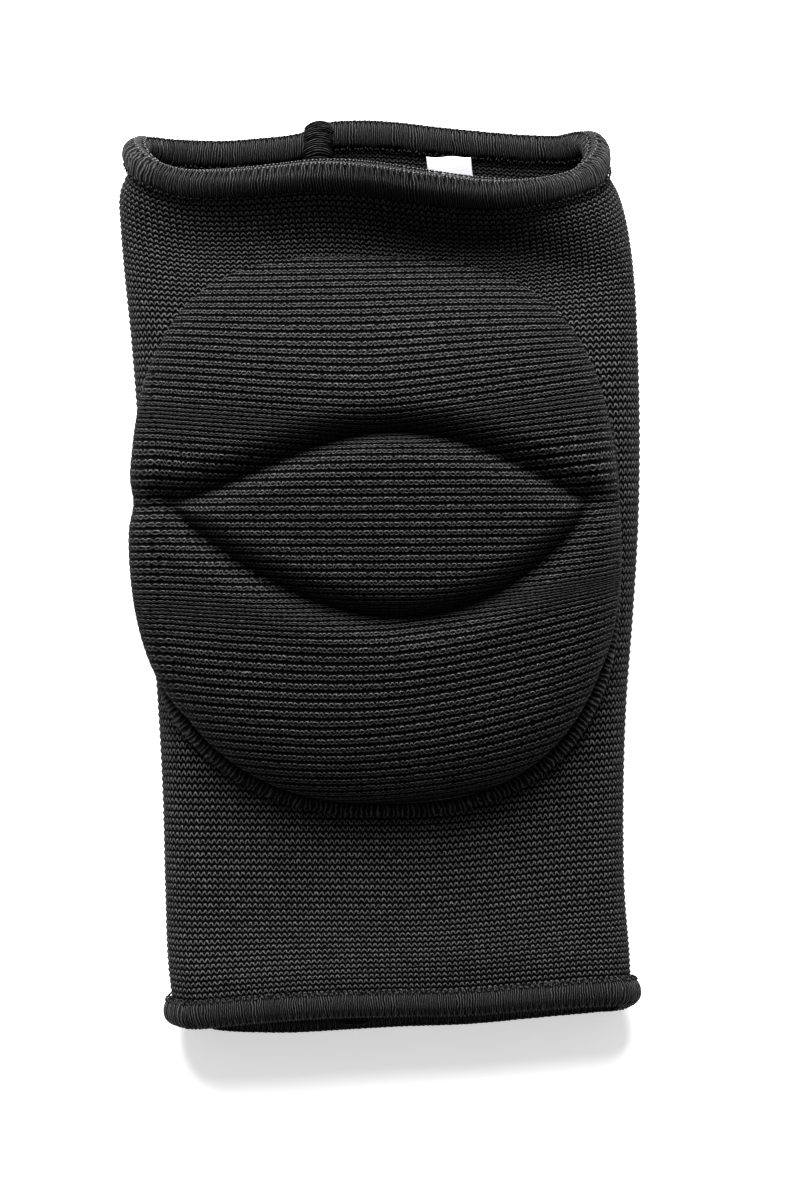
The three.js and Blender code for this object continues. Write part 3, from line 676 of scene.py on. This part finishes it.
def sleeve_y(turn, share):
    """The y of a course round the tube, from its share of the way between the rims."""
    low = calf_rim(turn) + BAND_SKIN + CLEARANCE
    high = thigh_rim(turn) - BAND_SKIN - CLEARANCE
    mean_low = MEAN_CALF_RIM * RIM_DROP
    mean_high = TUBE_LENGTH - MEAN_THIGH_RIM * RIM_DROP
    even = mix(mean_low, mean_high, share - COURSE_BUNCHING * np.sin(2 * math.pi * share))
    to_low = (low - mean_low) * (1 - ease(share / RIM_FADE))
    to_high = (high - mean_high) * (1 - ease((1 - share) / THIGH_FADE))
    t = turn - np.floor(turn)
    climb = ease((0.5 - t) / 0.25) * ease(t / 0.25) * (t < 0.5)
    window = np.minimum(1, share / 0.15) * np.minimum(1, (1 - share) / 0.3)
    return even + to_low + to_high + SIDE_LIFT * climb * window


def make_sleeve():
    """The tube: its outer wall in courses, its plainer inner wall, and both rims between them."""
    shell = Shell()
    turn = np.arange(SLEEVE_COLUMNS) / SLEEVE_COLUMNS
    rows = COURSES * ROWS_A_COURSE
    course = np.arange(rows + 1) / ROWS_A_COURSE
    relief = COURSE_RELIEF * (0.5 - 0.5 * np.cos(2 * math.pi * course)) - COURSE_RELIEF
    relief[[0, -1]] = -COURSE_RELIEF / 2
    t, share = np.meshgrid(turn, course / COURSES)
    outer = raised(t, sleeve_y(t, share), relief[:, None])
    inner_rows = 2 * (COURSES // 4)
    back = np.linspace(1, 0, inner_rows + 1)
    t, share = np.meshgrid(turn, back)
    inner = raised(t, sleeve_y(t, share), -KNIT_THICKNESS)
    around = np.arange(SLEEVE_COLUMNS + 1) / SLEEVE_COLUMNS * LOOPS_ROUND
    every = np.concatenate([course, back * COURSES * INNER_FINER + INNER_MARK, [0.0]])
    places = np.stack(np.meshgrid(around, every), -1)
    shell.grid(np.concatenate([outer, inner]), places, close_rows=True, close_columns=True)
    piece = shell.build("sleeve_knit_tube", KNIT)
    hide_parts("sleeve")
    return piece


# The pad's cover: every rib is a ridge that follows the way the cloth is drawn over the foam
RIB_RELIEF = 0.45
RIB_PHASES = (0.02, 0.1, 0.2, 0.34, 0.5, 0.66, 0.8, 0.9)  # where a rib has rows of points
RIB_HALF_WIDTH = 0.46  # the rest of the pitch is groove
OUTLINE_FADE = 0.12  # the ribs are lower over this share of the way in from the outline
OUTLINE_RELIEF = 0.35
PAD_COLUMNS = 150
FLOW_CENTRE = -24.0  # the ribs bend away from here to both sides
FLOW_REACH = 70.0  # over how much they bend, before they run straight
RIB_CURL = 0.0007  # how much they bend, and how much more they do below the panel
LOWER_CURL = 0.0016
UPPER_CLIMB = (0.11, 0.145)  # how steeply they leave the upper crease, on the left and on the right
LOWER_CLIMB = (0.02, 0.13)
CLIMB_START = 14.0  # over what distance the climb sets in
CLIMB_FADE = (42.0, 34.0)  # how far past the creases they climb, and the same on the upper right
LEFT_RISE = 1.2  # how far the ribs climb towards the left above the panel
LOWER_TOP = 108.7  # their bend grows from this y downwards, over a distance of LOWER_RANGE
LOWER_RANGE = 31.0
PANEL_LEVEL = 0.8  # how much of the bend is lost in the panel
LEFT_BEND = (0.15, -0.4)  # how much of it is left on the left side, above and below
LOWER_SPREAD = 1.15  # the ribs lie wider apart below the panel
LOWER_SPREAD_Y = (122.0, 28.0)  # where this starts, and over how far
UPPER_SPREAD = 1.25  # and towards the thigh end
UPPER_SPREAD_Y = (160.0, 25.0)
ROW_MARGIN = 0.12  # the first and the last row lie this far inside the outline
ROW_GAP = 0.03  # and no other row lies closer to them than this, as a share of the pitch


def rib_y(arc, middle):
    """The y of a rib at a place across the pad, from its y at the pad's middle.

    The ribs lie flat in the panel. Past a crease they climb out of it towards the pad's sides.
    """
    top = crease_y(UPPER_CREASE, UPPER_CREASE["peak"])
    bottom = crease_y(LOWER_CREASE, LOWER_CREASE["peak"])
    above = middle > PANEL_TIP_Y
    inside = np.where(above, (top - middle) / (top - PANEL_TIP_Y), (middle - bottom) / (PANEL_TIP_Y - bottom))
    right = arc > PANEL_CENTRE_ARC
    past = np.maximum(0, np.abs(arc - PANEL_CENTRE_ARC) - np.clip(inside, 0, 1) * PANEL_ARC_WIDTH / 2)
    beyond = np.maximum(0, np.maximum(middle - top, bottom - middle))
    hand = np.where(right, 1, 0)
    climb = np.where(above, np.array(UPPER_CLIMB)[hand], np.array(LOWER_CLIMB)[hand])
    fade = ease(1 - beyond / np.array(CLIMB_FADE)[np.where(above & right, 1, 0)])
    drawn = climb * fade * past**2 / (past + CLIMB_START)
    drawn = drawn + LEFT_RISE * ease((FLOW_CENTRE - arc) / 35) * ease((middle - top) / 25)
    lower = ease((LOWER_TOP - middle) / LOWER_RANGE)
    level = 1 - PANEL_LEVEL * ease((np.minimum(middle - bottom, top - middle) + 8) / 14)
    curl = (RIB_CURL + LOWER_CURL * lower) * level
    side = np.where(arc > FLOW_CENTRE, 1.0, mix(*LEFT_BEND, lower))
    bend = 2 * FLOW_REACH**2 * (np.sqrt(1 + ((arc - FLOW_CENTRE) / FLOW_REACH) ** 2) - 1)
    return middle + drawn + side * curl * bend


def rib_rows():
    """The ribs' middle y values, and their numbers, over the whole pad."""
    half = PAD_LENGTH / 2 + 20
    y = np.linspace(PAD_CENTRE_Y - half, PAD_CENTRE_Y + half, 2400)
    arc = np.full_like(y, PANEL_CENTRE_ARC)
    line = pad_point(arc, y, CLEARANCE + pad_thickness(arc, y))
    spread = mix(1.0, LOWER_SPREAD, ease((LOWER_SPREAD_Y[0] - y[1:]) / LOWER_SPREAD_Y[1]))
    spread = spread * mix(1.0, UPPER_SPREAD, ease((y[1:] - UPPER_SPREAD_Y[0]) / UPPER_SPREAD_Y[1]))
    run = np.concatenate([[0], np.cumsum(np.linalg.norm(np.diff(line, axis=0), axis=1) / spread)])
    angle = np.linspace(0, 2 * math.pi, 720)
    edge_arc, edge_y = pad_outline(angle)
    low, high = np.full_like(edge_y, y[0]), np.full_like(edge_y, y[-1])
    reached = halve(low, high, lambda middle: rib_y(edge_arc, middle) > edge_y)
    ends = [reached.min() + ROW_MARGIN, reached.max() - ROW_MARGIN]
    first, last = np.interp(ends, y, run) / RIB_PITCH
    numbers = (np.arange(int(first) - 1, int(last) + 2)[:, None] + np.array(RIB_PHASES)).ravel()
    numbers = numbers[(numbers > first + ROW_GAP) & (numbers < last - ROW_GAP)]
    numbers = np.concatenate([[first], numbers, [last]])
    return np.interp(numbers * RIB_PITCH, run, y), numbers


def rib_relief(numbers):
    """How far a rib's round top falls away below its crest."""
    phase = np.abs(numbers - np.floor(numbers) - 0.5) / RIB_HALF_WIDTH
    return RIB_RELIEF * (np.sqrt(np.maximum(0, 1 - phase**2)) - 1)


def make_cushion():
    """The pad: its ribbed top, and a plain side and underside that close it."""
    middle, numbers = rib_rows()
    samples = np.linspace(-PAD_ARC_WIDTH / 2, PAD_ARC_WIDTH / 2, 401) + PAD_CENTRE_ARC
    reach = pad_reach(samples[None], rib_y(samples[None], middle[:, None]))
    best = samples[np.argmin(reach, 1)]
    edges = []
    for far in (samples[0] - 1, samples[-1] + 1):
        outside = np.full_like(best, far)
        edges.append(halve(best, outside, lambda arc: pad_reach(arc, rib_y(arc, middle)) > 1))
    s = np.linspace(0, 1, PAD_COLUMNS + 1)
    s = 0.55 * s + 0.45 * (0.5 - 0.5 * np.cos(math.pi * s))
    arc = mix(edges[0][:, None], edges[1][:, None], s[None])
    y = rib_y(arc, middle[:, None])
    inward = ease((1 - pad_reach(arc, y)) / OUTLINE_FADE)
    relief = rib_relief(numbers)[:, None] * mix(OUTLINE_RELIEF, 1.0, inward)
    lift = CLEARANCE + pad_thickness(arc, y) + relief
    top = pad_point(arc, y, lift)
    shell = Shell()
    number = np.broadcast_to(numbers[:, None], arc.shape)
    shell.grid(top, np.stack([arc / RIB_LOOP, number], -1))
    # round the edge, and under the pad to its middle
    rows, columns = arc.shape
    ring = border(rows, columns)
    ring_arc, ring_y, ring_lift = (k.ravel()[ring] for k in (arc, y, lift))
    layers = []
    for share in (0.6, 0.25, 0.0):
        layers.append(pad_point(ring_arc, ring_y, CLEARANCE + (ring_lift - CLEARANCE) * share))
    for scale in (0.85, 0.65, 0.45, 0.25, 0.1):
        under_arc, under_y = mix(PAD_CENTRE_ARC, ring_arc, scale), mix(PAD_CENTRE_Y, ring_y, scale)
        layers.append(pad_point(under_arc, under_y, CLEARANCE))
    count = len(ring)
    hub = pad_point(PAD_CENTRE_ARC, np.array([PAD_CENTRE_Y]), CLEARANCE)
    start = shell.count
    shell.points.append(np.concatenate([*layers, hub]))
    shell.count += len(layers) * count + 1
    here = np.arange(count)
    after = (here + 1) % count
    rings = [ring] + [start + k * count + here for k in range(len(layers))]
    ring_place = np.stack([ring_arc / RIB_LOOP, number.ravel()[ring]], -1)
    for k in range(len(layers)):
        faces = np.stack([rings[k][here], rings[k + 1][here], rings[k + 1][after], rings[k][after]], -1)
        drop = np.array([0.0, 0.35])
        near, far = ring_place + drop * k, ring_place + drop * (k + 1)
        shell.faces.append(faces)
        shell.places.append(np.stack([near[here], far[here], far[after], near[after]], 1))
    last = rings[-1]
    centre = np.full(count, start + len(layers) * count)
    shell.faces.append(np.stack([last[here], centre, last[after]], -1))
    shell.places.append(np.stack([ring_place[here], ring_place[here], ring_place[after]], 1))
    piece = shell.build("knee_cushion_cover", COVER)
    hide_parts("knee_cushion")


# The overcast bands
LEFT_CORNER = 0.735  # the turn where the thread lies in the thickest bundles
CORNER_REACH = 0.022
CORNER_BULK = 0.7
GROUPS_ROUND = 170
COLUMNS_A_GROUP = 6
GROUP_RELIEF = 0.5
NOTCH_DEPTH = 1.1  # between the groups, where they turn over the rim
NOTCH_PLACE = 0.95
NOTCH_REACH = 0.85
CHAIN_HEIGHT = {1: 0.35, -1: 1.3}  # from the middle of the edge, on the outer and the inner face
CHAIN_THREAD = 0.22
LINK_SPAN = (-0.18, 1.22)  # each link of the chain reaches over its neighbours, in groups
ZIGZAG_THREAD = 0.18
BAND_BULGE = 1.3
BAND_MIDDLE = 0.46  # where a band is thickest, as a share of its width
BAND_FULLNESS = 0.78  # 1 would be an ellipse, less is fuller
BAND_ANGLES = (4, 14, 26, 39, 52, 66, 80, 94, 108, 122, 136, 150, 162)


def band_section(width):
    """A band's section, as (inward from the rim, height over the knit's outer face) pairs."""
    middle = -KNIT_THICKNESS / 2
    reach = CLEARANCE + BAND_SKIN - middle
    centre = BAND_MIDDLE * width
    outside, inside = CLEARANCE, -KNIT_THICKNESS - CLEARANCE
    half = []
    for angle in np.radians(BAND_ANGLES):
        far = centre if angle < math.pi / 2 else width - centre
        up = (reach + BAND_BULGE) * np.sin(angle) ** BAND_FULLNESS
        half.append((float(centre - far * np.cos(angle)), float(up)))
    top = [(x, middle + up) for x, up in half if middle + up > outside + 0.1 or x < centre]
    bottom = [(x, middle - up) for x, up in half if middle - up < inside - 0.1 or x < centre]
    points = [(width, outside)] + top[::-1] + [(0.0, middle)] + bottom
    return points + [(width, inside), (BAND_SKIN, inside), (BAND_SKIN, outside)]


def band_point(rim, direction, turn, inward, over):
    return raised(turn, rim(turn) - direction * inward, over)


def make_band(name, node, rim, direction, width, seed):
    """A band: groups of threads wound over the rim, and the threads that lock them."""
    rng = np.random.default_rng(seed)
    columns = GROUPS_ROUND * COLUMNS_A_GROUP
    widths = rng.uniform(0.6, 1.4, GROUPS_ROUND)
    corner = np.arange(GROUPS_ROUND) / GROUPS_ROUND - LEFT_CORNER
    widths = widths * (1 + CORNER_BULK * np.exp(-((corner / CORNER_REACH) ** 2)))
    # where each group starts, with one more group before the first and after the last
    places = np.arange(-1, GROUPS_ROUND + 2)
    starts = np.concatenate([[-widths[-1], 0], np.cumsum(widths), [widths.sum() + widths[0]]])
    starts = starts / widths.sum()
    group = np.arange(columns) / COLUMNS_A_GROUP
    turn = np.interp(group, places, starts)
    reach = band_reach(turn, width)
    bulk = np.repeat(rng.uniform(0.5, 1.0, GROUPS_ROUND), COLUMNS_A_GROUP)
    slide = np.repeat(rng.uniform(-0.45, 0.45, GROUPS_ROUND), COLUMNS_A_GROUP)
    profile = np.abs(np.sin(math.pi * group)) ** 0.55
    section = band_section(width)
    skin = len(section) - 2
    middle = -KNIT_THICKNESS / 2
    rim_row = [over for inward, over in section].index(middle)
    layers = []
    for k, (inward, over) in enumerate(section):
        share = inward / width
        x = share * reach if inward > 1.6 * BAND_SKIN else np.full(columns, inward)
        if k < skin:
            side = np.sign(over - middle)
            dent = GROUP_RELIEF * (1 - profile * bulk) * min(1, abs(over - middle) / 1.2)
            notch = NOTCH_DEPTH * max(0.0, 1 - abs(inward - NOTCH_PLACE) / NOTCH_REACH) * (1 - profile)
            lift = over - side * (dent + notch)
            if 0 < k < skin - 1 and share > 0.9:
                x = x - slide * 0.8 - 0.3
        else:
            lift = np.full(columns, over)
        lean = 0.0013 * share * np.sin(2 * math.pi * group / 7.3)
        layers.append(band_point(rim, direction, turn + lean, x, lift))
    around = np.arange(columns + 1) / COLUMNS_A_GROUP
    lengths = (np.arange(len(layers) + 1) - rim_row) * 0.35
    shell = Shell()
    pattern = np.stack(np.meshgrid(around, lengths), -1)
    shell.grid(np.stack(layers), pattern, close_rows=True, close_columns=True)
    taper = np.array([0.55, 0.9, 1, 1, 0.9, 0.5])
    for face in (1, -1):
        # the slanting links that lock the threads along the rim
        for link in range(GROUPS_ROUND):
            t = np.interp(link + np.linspace(*LINK_SPAN, 6), places, starts)
            share = np.linspace(0, 1, 6)
            bow = np.sin(math.pi * share)
            tilt = rng.uniform(0.25, 0.45)
            inward = tilt * (1 - share) - 0.1 * bow
            over = CHAIN_HEIGHT[face] + 0.9 * np.sqrt(np.maximum(inward, 0)) + 0.2 * bow
            path = band_point(rim, direction, t, inward, middle + face * over)
            swept(path, CHAIN_THREAD * taper, 5, shell, 0.2, mark=CHAIN_MARK)
        # the thread that zigzags over the band's inner edge
        steps = 4
        phase = np.arange(GROUPS_ROUND * steps) / steps
        t = np.interp(phase, places, starts)
        zig = 1 - 2 * np.abs(2 * (phase - np.floor(phase)) - 1)
        edge = -0.25 + 0.6 * zig + rng.normal(0, 0.16, len(t))
        over = CLEARANCE - 0.05 + (BAND_SKIN + 0.2) * ease(0.5 - edge / 0.9)
        over = middle + face * (over - middle)
        path = band_point(rim, direction, t, band_reach(t, width) + edge, over)
        swept(path, ZIGZAG_THREAD, 5, shell, 1 / steps, closed=True)
    piece = shell.build(name, BAND_THREAD)
    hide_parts(node)
    return piece


def make_ridge():
    """The overlocked ridge round the pad's lower edge, wrapped in thread."""
    wraps = 210
    steps = 5
    count = wraps * steps + 1
    share = np.linspace(0, 1, count)
    angle = mix(RIDGE_START, RIDGE_END, share)
    # even steps along the outline
    arc, y = pad_outline(angle)
    run = np.concatenate([[0], np.cumsum(np.hypot(np.diff(arc), np.diff(y)))])
    angle = np.interp(np.linspace(0, run[-1], count), run, angle)
    share = (angle - RIDGE_START) / (RIDGE_END - RIDGE_START)
    full = mix(0.35, 1, ease(np.minimum(share, 1 - share) / 0.3))
    group = np.arange(count) / steps
    profile = np.abs(np.sin(math.pi * group)) ** 0.5
    sides = 14
    turns = 2 * math.pi * (np.arange(sides) + 0.5) / sides
    size = mix(0.84, 1.0, profile)
    rings = []
    for a in turns:
        wide = full * RIDGE_WIDTH / 2
        high = full * RIDGE_HEIGHT / 2
        margin = CLEARANCE + wide + wide * size * np.cos(a)
        arc, y = pad_outline(angle + 0.004 * np.sin(a), margin)
        rings.append(pad_point(arc, y, CLEARANCE + high + high * size * np.sin(a)))
    points = np.stack(rings, 1)
    shell = Shell()
    around = np.arange(sides + 1) * 0.35
    places = np.stack(np.meshgrid(around, group), -1)[..., ::-1]
    shell.grid(points, places, close_columns=True)
    shell.close_ends(count, sides)
    piece = shell.build("cushion_edge_stitching", SEAM_THREAD)
    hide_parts("cushion_edge_ridge")


# The back seam
KNOT_LENGTH = 11.0  # how far down the seam is wound thick from the thigh rim
KNOT_SWELL = 0.25
KNOT_LEAN = 0.5


def strip_stops():
    """Where the seam steps on and off the bands, and how far it lies off the knit there."""
    low, high = float(calf_rim(np.array(SEAM_TURN))), float(thigh_rim(np.array(SEAM_TURN)))
    over = BAND_SKIN + 2 * CLEARANCE
    climb = 2 * SEAM_THICKNESS
    ys = [low + BAND_SKIN, low + CALF_BAND_WIDTH + CLEARANCE, low + CALF_BAND_WIDTH + climb]
    offs = [over, over, CLEARANCE]
    ys += [high - THIGH_BAND_WIDTH - climb, high - THIGH_BAND_WIDTH - CLEARANCE, high + 0.9]
    offs += [CLEARANCE, over, over]
    return np.array(ys), np.array(offs)


def make_seam():
    """The tube's back seam: an overlocked edge, wound thick at the thigh rim."""
    ys, offs = strip_stops()
    stitches = 420
    steps = 3
    count = stitches * steps + 1
    y = np.linspace(ys[0], ys[-1], count)
    off = np.interp(y, ys, offs)
    stitch = np.arange(count) / steps
    profile = np.abs(np.sin(math.pi * stitch)) ** 0.6
    rng = np.random.default_rng(5)
    sway = np.interp(stitch, np.arange(stitches + 2), rng.normal(0, 0.16, stitches + 2))
    knot = ease((y - (ys[-1] - KNOT_LENGTH)) / 2.5)
    dome = np.sqrt(np.clip(1 - (1 - np.clip((ys[-1] - y) / 2.6, 0, 1)) ** 2, 0.02, 1))
    section = [(-0.5, 0.0), (-0.17, 0.0), (0.17, 0.0), (0.5, 0.0), (0.52, 0.3), (0.46, 0.58), (0.34, 0.85)]
    section += [(0.15, 0.97), (0, 1), (-0.15, 0.97), (-0.34, 0.85), (-0.46, 0.58), (-0.52, 0.3)]
    rings = []
    for across, up in section:
        size = mix(0.92, 1.0, profile) * (1 + KNOT_SWELL * knot)
        side = across * SEAM_WIDTH * size * mix(0.45, 1.0, dome) + (sway if up > 0 else 0) + KNOT_LEAN * knot
        turn = SEAM_TURN + side / (2 * section_at(y).half)
        rise = up * SEAM_THICKNESS * size * mix(0.9, 1.0, profile) * mix(0.25, 1.0, dome) * (1 + 0.4 * knot)
        arch = knot * 1.1 * (1 - (2 * across) ** 2)
        rings.append(raised(turn, y + 0.35 * across + arch * dome, -KNIT_THICKNESS - off - rise))
    points = np.stack(rings, 1)
    shell = Shell()
    places = np.stack(np.meshgrid(np.arange(len(section) + 1) * 0.4, stitch), -1)[..., ::-1]
    shell.grid(points, places, close_columns=True)
    shell.close_ends(count, len(section))
    piece = shell.build("back_seam_overlock", SEAM_THREAD)
    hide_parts("back_seam")
    return piece


# The tab
TAB_OVERLAP = 1.3  # how far its sewn end lies over the band
TAB_BEND = 9.0  # over what length it rises onto the band
TAPE_THICKNESS = 0.42
TAPE_WEAVE = 0.4


def make_tab():
    """The blank tab, a strip of tape."""
    side = TAB_WIDTH / (4 * float(section_at(TUBE_LENGTH - THIGH_BAND_WIDTH).half))
    rim = min(float(thigh_rim(np.array(TAB_TURN - side))), float(thigh_rim(np.array(TAB_TURN + side))))
    top = rim - THIGH_BAND_WIDTH - 2 * CLEARANCE + TAB_OVERLAP
    across = np.linspace(-0.5, 0.5, 25)
    along = np.linspace(0, 1, 49)
    a, b = np.meshgrid(across, along)
    y = top - TAB_LENGTH * (1 - b) + 0.18 * np.sin(9 * a + 1)
    turn = TAB_TURN + a * TAB_WIDTH / (2 * section_at(y).half)
    ripple = 0.15 + 0.07 * np.sin(7 * a + 5 * b) + 0.04 * np.sin(14 * b - 4 * a)
    ripple = ripple + (BAND_SKIN + BAND_BULGE) * ease((y - top + TAB_BEND) / TAB_BEND)
    near = raised(turn, y, -KNIT_THICKNESS - CLEARANCE - ripple)
    far = raised(turn, y, -KNIT_THICKNESS - CLEARANCE - ripple - TAPE_THICKNESS)
    shell = Shell()
    places = np.stack([a * TAB_WIDTH, b * TAB_LENGTH], -1) / TAPE_WEAVE
    shell.grid(near, places)
    shell.grid(far, places)
    rows, columns = a.shape
    ring = border(rows, columns)
    after = np.roll(ring, -1)
    shell.faces[0] = shell.faces[0][:, ::-1]
    shell.places[0] = shell.places[0][:, ::-1]
    shell.faces.append(np.stack([ring, after, after + rows * columns, ring + rows * columns], -1))
    flat = places.reshape(-1, 2)
    shell.places.append(np.stack([flat[ring], flat[after], flat[after], flat[ring]], 1))
    piece = shell.build("inner_tab_tape", TAPE)
    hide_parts("inner_tab")


sleeve = make_sleeve()
make_cushion()
thigh_band = make_band("thigh_band_overcast", "thigh_band", thigh_rim, 1, THIGH_BAND_WIDTH, 11)
calf_band = make_band("calf_band_overcast", "calf_band", calf_rim, -1, CALF_BAND_WIDTH, 12)
make_ridge()
seam = make_seam()
make_tab()

# The stage: a plain white floor, a soft key light from the thigh end and an even fill
KEY_PLACE = (-0.1, 0.99, 0.84)
KEY_SIZE = 0.95
KEY_POWER = 37.0
FLOOR_GLOW = 0.3
SKY = 0.3
CAMERA_PLACE = (0.005331, -0.00623, 1.0)
CAMERA_LENS = 113.2
floor_mesh = bpy.data.meshes.new("floor")
floor_mesh.from_pydata([(-3, -3, 0), (3, -3, 0), (3, 3, 0), (-3, 3, 0)], [], [(0, 1, 2, 3)])
floor = bpy.data.objects.new("floor", floor_mesh)
floor.location.z = -0.0002
scene.collection.objects.link(floor)
floor_material = bpy.data.materials.new("floor_white")
floor_material.use_nodes = True
set_inputs(floor_material.node_tree.nodes["Principled BSDF"], {
    "Base Color": (0.9, 0.9, 0.9, 1),
    "Roughness": 0.9,
    "Specular IOR Level": 0.1,
    "Emission Color": (1, 1, 1, 1),
    "Emission Strength": FLOOR_GLOW,
})
floor_mesh.materials.append(floor_material)

world = bpy.data.worlds.new("studio")
world.use_nodes = True
set_inputs(world.node_tree.nodes["Background"], {"Color": (1, 1, 1, 1), "Strength": SKY})
scene.world = world

light = bpy.data.lights.new("key", "AREA")
light.shape = "DISK"
light.size = KEY_SIZE
light.energy = KEY_POWER
lamp = bpy.data.objects.new("key", light)
lamp.location = KEY_PLACE
lamp.rotation_euler = Vector(KEY_PLACE).to_track_quat("Z", "Y").to_euler()
scene.collection.objects.link(lamp)

camera_data = bpy.data.cameras.new("camera")
camera_data.sensor_width = 36.0
camera_data.lens = CAMERA_LENS
camera_data.clip_start = 0.05
camera = bpy.data.objects.new("camera", camera_data)
camera.location = CAMERA_PLACE
scene.collection.objects.link(camera)
scene.camera = camera
scene.view_settings.view_transform = "Standard"
scene.view_settings.look = "High Contrast"
